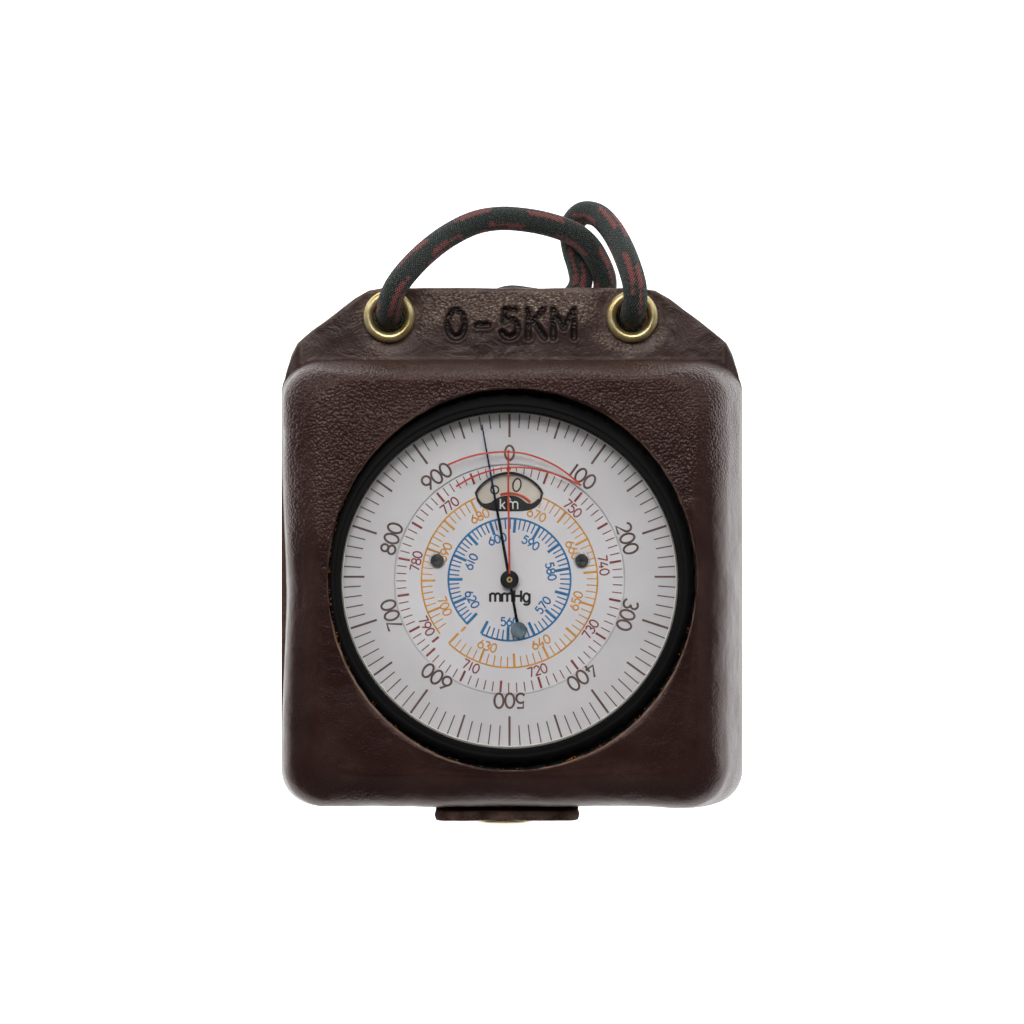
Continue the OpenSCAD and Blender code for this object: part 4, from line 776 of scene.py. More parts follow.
def lugLayer(name, top, bottom, slots, columns, stamped):
    s = lugShape
    shift = caseShape["shiftX"]
    xs = shift + np.linspace(-42.2, 42.2, columns)
    edge = lugEdge(xs)
    away = np.abs(xs - shift)
    low = 38.4 - 11.0 * smoothStep(away, 33, 42)
    rows = 76
    across = np.linspace(0, 1, rows)
    grid = []
    for t in across:
        y = low + (edge - 0.9 - low) * t
        grid.append(np.stack([xs, y, np.full(columns, top)], 1))
    # round the edge over and down to the cut side
    for out, drop in ((0.45, 0.06), (0.2, 0.22), (0.05, 0.5)):
        grid.append(np.stack([xs, edge - out, np.full(columns, top - drop)], 1))
    side = len(grid)
    for level in (0.35, 0.68, 1.0):
        down = 0.5 + (top - bottom - 0.5) * level
        grid.append(np.stack([xs, edge - 0.06 * level, np.full(columns, top - down)], 1))
    under = len(grid)
    for t in np.linspace(1, 0, 8)[1:]:
        y = low + (edge - 0.06 - low) * t
        grid.append(np.stack([xs, y, np.full(columns, bottom)], 1))
    points = np.concatenate(grid)
    rowOf = np.repeat(np.arange(len(grid)), columns)
    faces, slotOf = [], []
    eyelets = np.array(s["eyelets"])
    for i in range(len(grid) - 1):
        for j in range(columns - 1):
            quad = (i * columns + j, i * columns + j + 1, (i + 1) * columns + j + 1, (i + 1) * columns + j)
            middle = points[list(quad), :2].mean(0)
            if np.linalg.norm(eyelets - middle, axis=1).min() > s["hole"]:
                faces.append(quad)
                slotOf.append(0 if i < side - 1 else 1 if i < under else 2)
    onTop = (rowOf < side) * 1.0
    # the front layer thins out to nothing at its two lower ends
    taper = smoothStep(np.abs(points[:, 0] - shift), 38.5, 42.0) * (1.0 if stamped else 0.0)
    points[:, 2] = bottom + (points[:, 2] - bottom) * (1 - 0.9 * taper)
    toEyelet = np.min([np.linalg.norm(points[:, :2] - e, axis=1) for e in eyelets], axis=0)
    drop, struck = stampDrop(points) if stamped else (0, np.zeros(len(points)))
    soft = onTop * (1 - smoothStep(rowOf, side - 4, side))
    # the leather is pulled down round the eyelets
    points[:, 2] += soft * (dented(points, s["dents"]) - 0.35 * bell(toEyelet, 5.2, 1.3) - drop)
    points[:, 1] += (rowOf >= side - 3) * (rowOf <= under) * 0.12 * ripple(points, 4, 13)
    wearAndHighlight = onTop * np.clip(
        0.9 * smoothStep(rowOf, side - 6, side - 1) * (0.5 + ripple(points, 2, 14))
        + 0.35 * bell(toEyelet, 5.5, 2) * (0.5 + ripple(points, 1.5, 15))
        + 0.3 * np.clip(ripple(points, 5, 16), 0, 1), 0, 1,
    )
    # coarse, cracked grain above and between the characters and beside the eyelets, pressed smooth elsewhere;
    # the material paints pale flecks on the cracked grain as highlights for its glints
    x, y = points[:, 0], points[:, 1]
    crustAndGlints = bell(y, 49.4, 3.1, 4) * (1 - smoothStep(np.abs(x), 13, 18))
    besideEyelet = 0.8 * bell(toEyelet, 6.4, 1.5) * smoothStep(ripple(points, 5, 18), -0.3, 0.6)
    crustAndGlints = np.maximum(crustAndGlints, besideEyelet)
    flattened = np.clip(0.93 - crustAndGlints * (0.9 + 0.5 * ripple(points, 2.2, 17)), 0, 1)
    # pale creases where the layer is folded up into the wall, and a short one at each end
    aside = np.abs(x - shift)
    fold = bell(y, 40.35, 0.28) * (aside < 38.6)
    fold = np.maximum(fold, bell(aside, 38.6, 0.3) * (y > 39.5) * (y < 43))
    # painted highlight: the cracked grain is also painted towards the pale worn tone; the folds are pale
    # creases
    wearAndHighlight = np.clip(wearAndHighlight + (0.25 * crustAndGlints + 0.4 * fold) * onTop, 0, 1)
    return meshPiece(
        name, points, faces, slots, slotOf,
        attributes={"wearAndHighlight": wearAndHighlight, "flattened": flattened, "struck": onTop * struck,
                    "crustAndGlints": onTop * crustAndGlints * (1 - struck)},
    )


lugFront = lugLayer(
    "lugFront", lugShape["surface"], lugShape["seam"] + 0.02, [lugLeather, *leatherSides[1:]], 400, True
)
lugBack = lugLayer(
    "lugBacking", lugShape["seam"], lugShape["backing"], [fleshLeather, cutLeather, grainLeather], 220, False
)
for piece in (lugFront, lugBack):
    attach(piece, "case")
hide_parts("lug_backing")
print("lug layers cut and stamped")

# the back flap, its fold and the closing strap
flapShape = {
    "height": 9.5, "thick": 2.0,
    "outside": [(0, 6.2, 6.2, 6.2), (0.03, 5.2, 5.2, 5.2), (0.105, 4, 4, 4), (0.263, 2.4, 2.4, 2.4),
                (0.474, 1.2, 1.2, 1.2), (0.737, 0.4, 0.4, 0.4), (1, 0, 0, 0)],
    "inside": [(1, 0, 0, 0), (0.667, 0.4, 0.4, 0.4), (0.333, 1.3, 1.3, 1.3), (0.133, 2.7, 2.7, 2.7),
               (0.04, 4, 4, 4), (0, 5.2, 5.2, 5.2)],
    "cutY": 32.8, "cutHalf": 36.0, "dents": [(0.3, 11, 21), (0.1, 4, 22)],
}


def flapBowl():
    s, thick = flapShape, flapShape["thick"]
    outside = [caseRing(row, 0, s["height"], 0) for row in catmull(s["outside"], 5)]
    inside = [caseRing(row, thick, s["height"] - thick, thick) for row in catmull(s["inside"], 4)]
    middle = np.array([caseShape["shiftX"], 0, 0])
    shares = np.array([0.08, 0.3, 0.55, 0.78, 0.92])
    floorOut = [middle + (outside[0] - middle) * (t, t, 1) for t in shares]
    floorIn = [middle + (inside[-1] - middle) * (t, t, 1) for t in shares[::-1]]
    rings = floorOut + outside + inside + floorIn
    count = len(rays)
    points = np.concatenate(rings + [[middle], [middle + (0, 0, thick)]])
    total = len(rings) * count
    faces = bandFaces(len(rings), count, closed=False)
    outer = len(floorOut) + len(outside) - 1
    slotOf = [0 if i < outer else 1 if i == outer else 2 for i in range(len(rings) - 1) for _ in range(count)]
    faces += [(total, (j + 1) % count, j) for j in range(count)]
    faces += [(total + 1, total - count + j, total - count + (j + 1) % count) for j in range(count)]
    slotOf += [0] * count + [2] * count
    ringOf = np.append(np.repeat(np.arange(len(rings)), count), [0, len(rings)])
    foot = len(floorOut)
    free = smoothStep(ringOf, foot + 4, foot + 10) * (1 - smoothStep(ringOf, outer - 6, outer))
    quads = bandFaces(len(rings), count, closed=False)
    normals = solveNormals(points[:total], quads)
    normals = np.vstack([normals, [0, 0, -1], [0, 0, 1]])
    points = points + normals * (free * dented(points, s["dents"]))[:, None]
    wearAndHighlight = np.clip(
        0.5 * bell(ringOf, foot + 3, 3.5) * (0.6 + ripple(points, 5, 23)) + 0.4 * (ringOf == outer), 0, 1
    )
    return meshPiece("backFlapBowl", points, faces, leatherSides, slotOf, attributes={"wearAndHighlight": wearAndHighlight})


def boxPiece(low, high):
    (x0, y0, z0), (x1, y1, z1) = low, high
    corners = [(x, y, z) for z in (z0, z1) for y in (y0, y1) for x in (x0, x1)]
    sides = [(0, 2, 3, 1), (4, 5, 7, 6), (0, 1, 5, 4), (2, 6, 7, 3), (0, 4, 6, 2), (1, 3, 7, 5)]
    return meshPiece("cutter", corners, sides, [cutLeather], smooth=False)


def evaluatedMesh(piece):
    # the mesh as its modifier leaves it, with the modifier taken off
    mesh = bpy.data.meshes.new_from_object(piece.evaluated_get(bpy.context.evaluated_depsgraph_get()))
    piece.modifiers.clear()
    return mesh


def cutAway(piece, cutter):
    # boolean in place, then the cutter goes
    modifier = piece.modifiers.new("cut", "BOOLEAN")
    modifier.operation, modifier.solver, modifier.object = "DIFFERENCE", "EXACT", cutter
    shaped = evaluatedMesh(piece)
    old, name = piece.data, piece.data.name
    piece.data = shaped
    bpy.data.meshes.remove(old)
    shaped.name = name
    bpy.data.objects.remove(cutter)


flap = flapBowl()
shiftX = caseShape["shiftX"]
cutAway(flap, boxPiece(
    (shiftX - flapShape["cutHalf"], flapShape["cutY"], -1), (shiftX + flapShape["cutHalf"], 45, 12)
))
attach(flap, "flap")
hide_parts("back_flap")


def stripPiece(name, outline, halfWidth, middleX, slots, seed, columns=60, cornerRadius=0.0, flexed=0.25):
    # a strap in side view: outline is its centre line in (y, z, thickness), swept along X with rounded edges
    line = np.array(outline, float)
    ahead = np.gradient(line[:, :2], axis=0)
    ahead /= np.linalg.norm(ahead, axis=1, keepdims=True)
    out = np.stack([-ahead[:, 1], ahead[:, 0]], 1)
    gone = runLength(line[:, :2])
    left = gone[-1] - gone
    narrow = np.where(
        left < cornerRadius,
        cornerRadius - np.sqrt(np.maximum(cornerRadius**2 - (cornerRadius - left) ** 2, 0)), 0,
    )
    # section round the strap: top face, rounded edge, bottom face, rounded edge
    spans = np.linspace(-1, 1, columns)
    section = [(u, 1.0, 0) for u in spans] + [(1.0, 0.0, 1)]
    section += [(u, -1.0, 0) for u in spans[::-1]] + [(-1.0, 0.0, -1)]
    count = len(section)
    points = []
    for k in range(len(line)):
        half = halfWidth - narrow[k]
        ring = []
        for u, face, bulge in section:
            trim = 0.25 if abs(u) == 1.0 and not bulge else 0
            x = middleX + u * (half - trim)
            lift = face * (line[k, 2] / 2 - (0.12 if trim else 0))
            ring.append((x, line[k, 0] + out[k, 0] * lift, line[k, 1] + out[k, 1] * lift))
        points += ring
    points = np.array(points)
    quads = [
        (i * count + j, (i + 1) * count + j, (i + 1) * count + (j + 1) % count, i * count + (j + 1) % count)
        for i in range(len(line) - 1) for j in range(count)
    ]
    slotOf = [0 if j < columns - 1 else 2 if columns + 1 <= j < 2 * columns else 1
              for _ in range(len(line) - 1) for j in range(count)]
    first = [tuple(range(count))]
    last = [tuple((len(line) - 1) * count + j for j in range(count))[::-1]]
    points[:, 1] += flexed * ripple(points * (1, 0.3, 0.3), 7, seed)
    wearAndHighlight = np.clip(0.35 * ripple(points, 3, seed + 1) + 0.1, 0, 1)
    made = meshPiece(name, points, quads + first + last, slots, slotOf + [1, 1], attributes={"wearAndHighlight": wearAndHighlight})
    work = bmesh.new()
    work.from_mesh(made.data)
    caps = [f for f in work.faces if len(f.verts) > 4]
    bmesh.ops.triangulate(work, faces=caps)
    bmesh.ops.recalc_face_normals(work, faces=work.faces)
    work.to_mesh(made.data)
    work.free()
    return made


# from the lug down the back wall, round the fold and under the floor of the flap
spineLine = [(39.3, z, 2.0) for z in np.linspace(7.6, 2.6, 10)]
spineLine += [(38.3 + math.cos(a), 2.0 + math.sin(a), 2.0) for a in np.linspace(0, -math.pi / 2, 12)[1:]]
spineLine += [(y, 1.0, 2.0) for y in np.linspace(37.8, 32.82, 8)]
spine = stripPiece("foldSpine", spineLine, 35.7, shiftX, leatherSides, 31, 90, flexed=0.0)
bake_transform(spine)

strapShape = {"middleX": -0.45, "halfWidth": 13.15, "thick": 1.9, "inner": 41.75, "top": 20.2}
middleY = -(strapShape["inner"] + strapShape["thick"] / 2)
strapLine = [(-38.6, 1.35, 0.9), (-40.0, 2.0, 1.3), (-41.3, 3.1, 1.8), (-42.3, 4.4, 1.9), (middleY, 5.8, 1.9)]
strapLine = [tuple(p) for p in catmull(strapLine, 4)]
strapLine += [(middleY, z, 1.9) for z in np.linspace(6.4, strapShape["top"] - 0.3, 30)]
strapLine += [(middleY, strapShape["top"] - 0.12, 1.7), (middleY, strapShape["top"], 1.35)]
strap = stripPiece("closingStrap", strapLine, strapShape["halfWidth"], strapShape["middleX"],
                   leatherSides, 41, 60, cornerRadius=2.5, flexed=0.18)
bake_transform(strap)
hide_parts("closing_strap")
print("flap, fold and strap formed")

# printing on the dial, made by Geometry Nodes from plain strokes
inkShape = {"height": 0.03, "sides": 6}


def newTree(name, inputs, output):
    # a Geometry Nodes tree with named sockets, and what comes in through them
    tree = bpy.data.node_groups.new(name, "GeometryNodeTree")
    for label, kind in inputs.items():
        tree.interface.new_socket(label, in_out="INPUT", socket_type="NodeSocket" + kind)
    tree.interface.new_socket(output, in_out="OUTPUT", socket_type="NodeSocketGeometry")
    return tree, addNode(tree, "NodeGroupInput").outputs


def endTree(tree, geometry, material):
    real = addNode(tree, "GeometryNodeRealizeInstances", {"Geometry": geometry})
    coloured = addNode(tree, "GeometryNodeSetMaterial", {"Geometry": real.outputs[0], "Material": material})
    addNode(tree, "NodeGroupOutput", {0: coloured.outputs[0]})
    return tree


def inkTree():
    # strokes in, raised ink out: every line becomes a flat ribbon with round edges
    tree, given = newTree("inkStrokes", {
        "Strokes": "Geometry", "Stroke width": "Float", "Ink height": "Float", "Level": "Float",
        "Ink": "Material",
    }, "Print")
    lines = addNode(tree, "GeometryNodeMeshToCurve", {"Mesh": given["Strokes"]})
    half = maths(tree, "MULTIPLY", given["Stroke width"], 0.5)
    around = {"Resolution": inkShape["sides"], "Radius": half}
    profile = addNode(tree, "GeometryNodeCurvePrimitiveCircle", around)
    ribbon = addNode(
        tree, "GeometryNodeCurveToMesh",
        {"Curve": lines.outputs[0], "Profile Curve": profile.outputs[0], "Fill Caps": True},
    )
    flat = maths(tree, "DIVIDE", given["Ink height"], given["Stroke width"])
    placed = addNode(tree, "GeometryNodeTransform", {
        "Geometry": ribbon.outputs[0], "Translation": combined(tree, z=given["Level"]),
        "Scale": combined(tree, 1.0, 1.0, flat),
    })
    return endTree(tree, placed.outputs[0], given["Ink"])


def tickTree():
    # a ring of equal ticks, clockwise from the first angle
    tree, given = newTree("tickRing", {
        "Before": "Geometry", "Count": "Int", "First angle": "Float", "Step": "Float",
        "Inner radius": "Float", "Outer radius": "Float", "Tick width": "Float", "Ink height": "Float",
        "Middle": "Vector", "Ink": "Material",
    }, "Ticks")
    spots = addNode(tree, "GeometryNodePoints", {"Count": given["Count"], "Position": given["Middle"]})
    length = maths(tree, "SUBTRACT", given["Outer radius"], given["Inner radius"])
    total = maths(tree, "ADD", given["Outer radius"], given["Inner radius"])
    size = combined(tree, given["Tick width"], length, given["Ink height"])
    block = addNode(tree, "GeometryNodeMeshCube", {"Size": size})
    out = combined(tree, y=maths(tree, "MULTIPLY", total, 0.5))
    tick = addNode(tree, "GeometryNodeTransform", {"Geometry": block.outputs[0], "Translation": out})
    index = addNode(tree, "GeometryNodeInputIndex").outputs[0]
    swept = maths(tree, "MULTIPLY_ADD", index, given["Step"], given["First angle"])
    turn = combined(tree, z=maths(tree, "MULTIPLY", swept, -math.pi / 180))
    ring = addNode(
        tree, "GeometryNodeInstanceOnPoints",
        {"Points": spots.outputs[0], "Instance": tick.outputs[0], "Rotation": turn},
    )
    return endTree(tree, ring.outputs[0], given["Ink"])


def grownPiece(name, tree, values, start=None):
    # runs a Geometry Nodes tree on an object and keeps only its plain mesh
    mesh = start or bpy.data.meshes.new(name + "Start")
    piece = shownObject(name, mesh)
    modifier = piece.modifiers.new("grow", "NODES")
    modifier.node_group = tree
    sockets = {s.name: s.identifier for s in tree.interface.items_tree if s.in_out == "INPUT"}
    for label, value in values.items():
        modifier[sockets[label]] = value
    piece.data = evaluatedMesh(piece)
    piece.data.name = name
    bpy.data.meshes.remove(mesh)
    return piece


def joinPieces(name, parts):
    work = bmesh.new()
    slots = []
    for part in parts:
        before = len(work.faces)
        work.from_mesh(part.data)
        work.faces.ensure_lookup_table()
        mapping = []
        for slot in part.data.materials:
            if slot not in slots:
                slots.append(slot)
            mapping.append(slots.index(slot))
        for face in work.faces[before:]:
            face.material_index = mapping[face.material_index] if mapping else 0
    mesh = bpy.data.meshes.new(name)
    work.to_mesh(mesh)
    work.free()
    for slot in slots:
        mesh.materials.append(slot)
    for part in parts:
        old = part.data
        bpy.data.objects.remove(part)
        bpy.data.meshes.remove(old)
    return shownObject(name, mesh)


def workPiece(name, work, material):
    mesh = bpy.data.meshes.new(name)
    work.to_mesh(mesh)
    work.free()
    mesh.materials.append(material)
    return shownObject(name, mesh)


ink = inkTree()
ticks = tickTree()


def labelStrokes(text, size, gap, place, turnDeg):
    # strokes of a word centred on place, turned counter-clockwise
    wide = [characters[c][0] * size for c in text]
    total = sum(wide) + gap * (len(text) - 1)
    x, strokes = -total / 2, []
    c, s = math.cos(math.radians(turnDeg)), math.sin(math.radians(turnDeg))
    for letter, width in zip(text, wide):
        for stroke in characters[letter][1]:
            local = [(x + px * size, (py - 0.5) * size) for px, py in stroke]
            strokes.append([(place[0] + u * c - v * s, place[1] + u * s + v * c) for u, v in local])
        x += width + gap
    return strokes


def polar(radius, clockwiseDeg, middle=(0, 0)):
    a = math.radians(clockwiseDeg)
    return (middle[0] + radius * math.sin(a), middle[1] + radius * math.cos(a))


def radialLabel(text, size, gap, radius, angle, middle=(0, 0), upright=False):
    flipped = upright and 98 < angle % 360 < 262
    return labelStrokes(text, size, gap, polar(radius, angle, middle), (180 if flipped else 0) - angle)


def strokePiece(name, strokes, width, level, material):
    points, edges = [], []
    for stroke in strokes:
        start = len(points)
        shut = len(stroke) > 3 and math.dist(stroke[0], stroke[-1]) < 1e-6
        kept = stroke[:-1] if shut else stroke
        points += [(x * mm, y * mm, 0) for x, y in kept]
        edges += [(start + k, start + k + 1) for k in range(len(kept) - 1)]
        if shut:
            edges.append((start + len(kept) - 1, start))
    mesh = bpy.data.meshes.new(name + "Strokes")
    mesh.from_pydata(points, edges, [])
    values = {
        "Stroke width": width * mm, "Ink height": inkShape["height"] * mm, "Level": level * mm,
        "Ink": material,
    }
    return grownPiece(name, ink, values, mesh)


def tickPiece(name, count, first, step, inner, outer, width, level, middle, material):
    values = {
        "Count": count, "First angle": first, "Step": step,
        "Inner radius": inner * mm, "Outer radius": outer * mm,
        "Tick width": width * mm, "Ink height": inkShape["height"] * mm,
        "Middle": (middle[0] * mm, middle[1] * mm, level * mm), "Ink": material,
    }
    return grownPiece(name, ticks, values)


altitudeScale = {
    "middle": (0.0, 0.5),  # the ring's print sits a little high on it, as in the photo
    "level": 22.41, "outer": 30.5, "major": 25.1, "half": 26.1, "minor": 26.8,
    "majorWidth": 0.4, "halfWidth": 0.36, "minorWidth": 0.22,
    "labelRadius": 22.3, "labelSize": 2.6, "labelGap": 0.34, "stroke": 0.39,
}
a = altitudeScale


def altitudeTicks(label, count, first, step, kind):
    return tickPiece(label, count, first, step, a[kind], a["outer"], a[kind + "Width"], a["level"],
                     a["middle"], inkBrown)


parts = [altitudeTicks("majors", 10, 0, 36, "major"), altitudeTicks("halves", 10, 18, 36, "half")]
for decade in range(10):
    for first in (3.6, 21.6):
        parts.append(altitudeTicks("minors", 4, 36 * decade + first, 3.6, "minor"))
strokes = []
for k in range(10):
    strokes += radialLabel(str(100 * k), a["labelSize"], a["labelGap"], a["labelRadius"], 36 * k, a["middle"])
parts.append(strokePiece("numerals", strokes, a["stroke"], a["level"], inkBrown))
altitudePrint = joinPieces("altitudePrint", parts)
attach(altitudePrint, "bezel_unit")
print("altitude scale printed")

windowShape = {"half": 5.98, "middle": 15.55, "up": 3.65, "down": 3.08, "shift": -0.06, "line": 0.42}
w = windowShape
span = np.linspace(-1, 1, 33)
windowLine = [(w["shift"] + w["half"] * t, w["middle"] + w["up"] * (1 - abs(t) ** 1.9) ** 0.75) for t in span]
windowLine += [(w["shift"] + w["half"] * t, w["middle"] - w["down"] * (1 - t**4) ** 0.55)
               for t in span[-2:0:-1]]


def insideWindow(x, y, grow=0.28):
    # even-odd test against the window grown by a margin
    hits = False
    cx, cy = w["shift"], w["middle"]
    pts = [(cx + (px - cx) * (1 + grow / 6), cy + (py - cy) * (1 + grow / 3.5)) for px, py in windowLine]
    for (ax, ay), (bx, by) in zip(pts, pts[1:] + pts[:1]):
        if (ay > y) != (by > y) and x < (bx - ax) * (y - ay) / (by - ay) + ax:
            hits = not hits
    return hits


def clipped(stroke, step=0.12):
    # the parts of a stroke that are outside the window
    out, run = [], []
    for (ax, ay), (bx, by) in zip(stroke[:-1], stroke[1:]):
        n = max(1, int(math.dist((ax, ay), (bx, by)) / step))
        for k in range(n + 1):
            p = (ax + (bx - ax) * k / n, ay + (by - ay) * k / n)
            if insideWindow(*p):
                if len(run) > 1:
                    out.append(run)
                run = []
            elif not run or math.dist(run[-1], p) > 1e-6:
                run.append(p)
    if len(run) > 1:
        out.append(run)
    return out


pressureScales = {
    "red": {
        "ink": inkRed, "ring": None, "outer": 20.35, "thin": 18.6, "thick": 18.25, "labelRadius": 17.1,
        "size": 1.65, "gap": 0.24, "stroke": 0.26, "thinWidth": 0.19, "thickWidth": 0.4,
        "extra": [(-129, 16.4, 17.9)],
        "labels": {710: 203.9, 720: 162.9, 730: 121.5, 740: 81.4, 750: 41.6, 760: 1.5, 770: -39.0,
                   780: -78.9, 790: -119.3},
        "from": 705, "to": 793, "zero": 750, "at": 39.8, "step": 20.22, "bend": 0.068,
    },
    "orange": {
        "ink": inkOrange, "ring": (-128, 223), "outer": 15.85, "thin": 13.9, "thick": 13.35,
        "labelRadius": 12.6, "size": 1.55, "gap": 0.25, "stroke": 0.27, "thinWidth": 0.2,
        "thickWidth": 0.4, "line": 0.28,
        "extra": [(-137.1, 11.6, 12.75)],
        "labels": {630: 198.4, 640: 153.4, 650: 107.7, 660: 65.0, 670: 22.8, 680: -25.0, 690: -67.2,
                   700: -112.4},
        "from": 625, "to": 703, "zero": 665, "at": 40.0, "step": 22.28, "bend": 0.083,
    },
    "blue": {
        "ink": inkBlue, "ring": (-137.2, 207), "outer": 11.0, "thin": 9.1, "thick": 8.45, "labelRadius": 7.6,
        "size": 1.45, "gap": 0.24, "stroke": 0.28, "thinWidth": 0.25, "thickWidth": 0.5, "line": 0.34,
        "extra": [],
        "labels": {560: 180.0, 570: 127.4, 580: 79.0, 590: 30.0, 600: -16.7, 610: -65.0, 620: -117.8},
        "from": 555, "to": 625, "zero": 595, "at": 5.5, "step": 24.31, "bend": 0.121,
    },
}
printLevel = 22.21


def circleLine(radius, middle=(0, 0), steps=40):
    turns = [2 * math.pi * k / steps for k in range(steps + 1)]
    return [(middle[0] + radius * math.cos(t), middle[1] + radius * math.sin(t)) for t in turns[:-1]] + [
        (middle[0] + radius, middle[1])
    ]


parts = []
for label, scale in pressureScales.items():
    thin, thick, words = [], [], []
    for value in range(scale["from"], scale["to"] + 1):
        # the scale closes up evenly from one end to the other
        away = (scale["zero"] - value) / 5
        angle = scale["at"] + scale["step"] * away + scale["bend"] * away**2
        strong = value % 5 == 0
        stroke = [polar(scale["thick" if strong else "thin"], angle), polar(scale["outer"], angle)]
        (thick if strong else thin).extend(clipped(stroke))
    for value, angle in scale["labels"].items():
        strokes = radialLabel(
            str(value), scale["size"], scale["gap"], scale["labelRadius"], angle, upright=True
        )
        for stroke in strokes:
            words += clipped(stroke)
    if scale["ring"]:
        start, end = scale["ring"]
        ring = [polar(scale["outer"], start + (end - start) * k / 240) for k in range(241)]
        parts.append(strokePiece(label + "Line", clipped(ring), scale["line"], printLevel, scale["ink"]))
    for angle, inner, outer in scale["extra"]:
        thick.append([polar(inner, angle), polar(outer, angle)])
    parts.append(strokePiece(label + "Thin", thin, scale["thinWidth"], printLevel, scale["ink"]))
    parts.append(strokePiece(label + "Thick", thick, scale["thickWidth"], printLevel, scale["ink"]))
    parts.append(strokePiece(label + "Words", words, scale["stroke"], printLevel, scale["ink"]))
parts.append(strokePiece("windowBorder", [windowLine + windowLine[:1]], w["line"], printLevel, inkBlack))
unitWord = labelStrokes("mmHg", 2.05, 0.32, (0.1, -3.0), 0)
parts.append(strokePiece("unit", unitWord, 0.42, printLevel, inkBlack))
pressurePrint = joinPieces("pressurePrint", parts)
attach(pressurePrint, "case")

# the dark screen over the lower part of the window, with its unit and its arrow
hump = [(-5.6, 14.7), (-4.91, 13.81), (-4.08, 13.7), (-3.26, 13.95), (-2.8, 14.36), (-1.6, 14.92),
        (-0.31, 15.15), (0.24, 15.15), (1.16, 15.01), (2.08, 14.55), (2.91, 13.9), (3.46, 13.7),
        (4.2, 13.79), (5.3, 14.64)]
foot = [(x, y) for x, y in windowLine[33:] if y < 14.4]
outline = catmull(hump, 4).tolist() + foot
work = bmesh.new()
corners = [work.verts.new((x * mm, y * mm, 21.9 * mm)) for x, y in outline]
plate = work.faces.new(corners[::-1])
bmesh.ops.recalc_face_normals(work, faces=work.faces)
lifted = bmesh.ops.extrude_face_region(work, geom=[plate])
risen = [v for v in lifted["geom"] if isinstance(v, bmesh.types.BMVert)]
bmesh.ops.translate(work, vec=(0, 0, 0.08 * mm), verts=risen)
bmesh.ops.triangulate(work, faces=work.faces)
bmesh.ops.recalc_face_normals(work, faces=work.faces)
screen = workPiece("windowScreen", work, inkBlack)
unitKm = strokePiece("unitKm", labelStrokes("km", 1.95, 0.42, (-0.06, 13.54), 0), 0.25, 22.01, inkWhite)
arrow = strokePiece(
    "arrow", [[(-0.36, 14.3), (-0.06, 14.86), (0.24, 14.3), (-0.36, 14.3)], [(-0.06, 14.35), (-0.06, 14.7)]],
    0.2, 22.01, inkWhite,
)
kilometreScreen = joinPieces("kilometreScreen", [screen, unitKm, arrow])
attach(kilometreScreen, "case")

kilometreDisc = {
    "middle": (0, 10.35), "radius": 6.8, "size": 2.3, "gap": 0.2, "stroke": 0.28, "level": 21.51,
    "first": 11.3, "step": 54, "digits": 7, "arcRadius": 5.15, "arcFrom": -19, "arcLong": 66,
    "arcWidth": 0.48,
}
disc = kilometreDisc
strokes = []
for digit in range(disc["digits"]):
    angle = disc["first"] + disc["step"] * digit
    strokes += radialLabel(str(digit), disc["size"], disc["gap"], disc["radius"], angle, disc["middle"])
digits = strokePiece("discDigits", strokes, disc["stroke"], disc["level"], inkBlack)
arc = [polar(disc["arcRadius"], disc["arcFrom"] + disc["arcLong"] * n / 30, disc["middle"])
       for n in range(31)]
warning = strokePiece("discArc", [arc], disc["arcWidth"], disc["level"], indexRed)
discPrint = joinPieces("discPrint", [digits, warning])
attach(discPrint, "km_unit")

# red index lines on the underside of the crystal
indexShape = {"level": 24.33, "line": 0.36, "arc": 0.32, "shift": -0.2}
upperArc = [(-11.1, 20.6), (-8.4, 21.7), (-5.4, 22.5), (-2.6, 22.85), (0, 22.9), (3, 22.55), (6.4, 21.4),
            (9.6, 19.6), (12.9, 16.9)]
lowerArc = [(-9.6, 16.7), (-7.6, 17.9), (-5.2, 19.0), (-2.6, 19.75), (0, 20.1), (3, 20.1), (6.2, 19.5),
            (9.6, 18.4), (12.9, 16.9)]
indexStrokes = [catmull(upperArc, 6).tolist(), catmull(lowerArc, 6).tolist()]
shift = indexShape["shift"]
diamond = [(shift - 0.3, 19.9), (shift, 19.4), (shift + 0.3, 19.9), (shift, 20.4), (shift - 0.3, 19.9)]
hair = [(0, 1.1), (shift, 15), (shift, 23.3)]
indexParts = [
    strokePiece("arcs", indexStrokes, indexShape["arc"], indexShape["level"], indexRed),
    strokePiece("line", [hair], indexShape["line"], indexShape["level"], indexRed),
    strokePiece("diamond", [diamond], 0.34, indexShape["level"], indexRed),
]
redIndex = joinPieces("redIndexLines", indexParts)
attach(redIndex, "bezel_unit")
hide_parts("red_index")

# grey weight on the pointer's tail
tail = {"angle": math.radians(10.1), "radius": 9.2, "level": 23.27, "wide": 1.45, "top": 1.3, "thick": 0.14}
weightX = tail["radius"] * math.sin(tail["angle"])
weightAt = (weightX, -tail["radius"] * math.cos(tail["angle"]), tail["level"])
weightFinish = madeFinish("tarnishedWeightSteel", ["#4a5a64", "#7a8a92"], 0.45, 0.6, 1.2, 0.15, 0.01)
work = bmesh.new()
bmesh.ops.create_cone(
    work, cap_ends=True, segments=48, radius1=tail["wide"] * mm, radius2=tail["top"] * mm,
    depth=tail["thick"] * mm,
)
bmesh.ops.translate(work, vec=[v * mm for v in weightAt], verts=work.verts)
weight = workPiece("pointerWeight", work, weightFinish)
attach(weight, "pointer_unit")

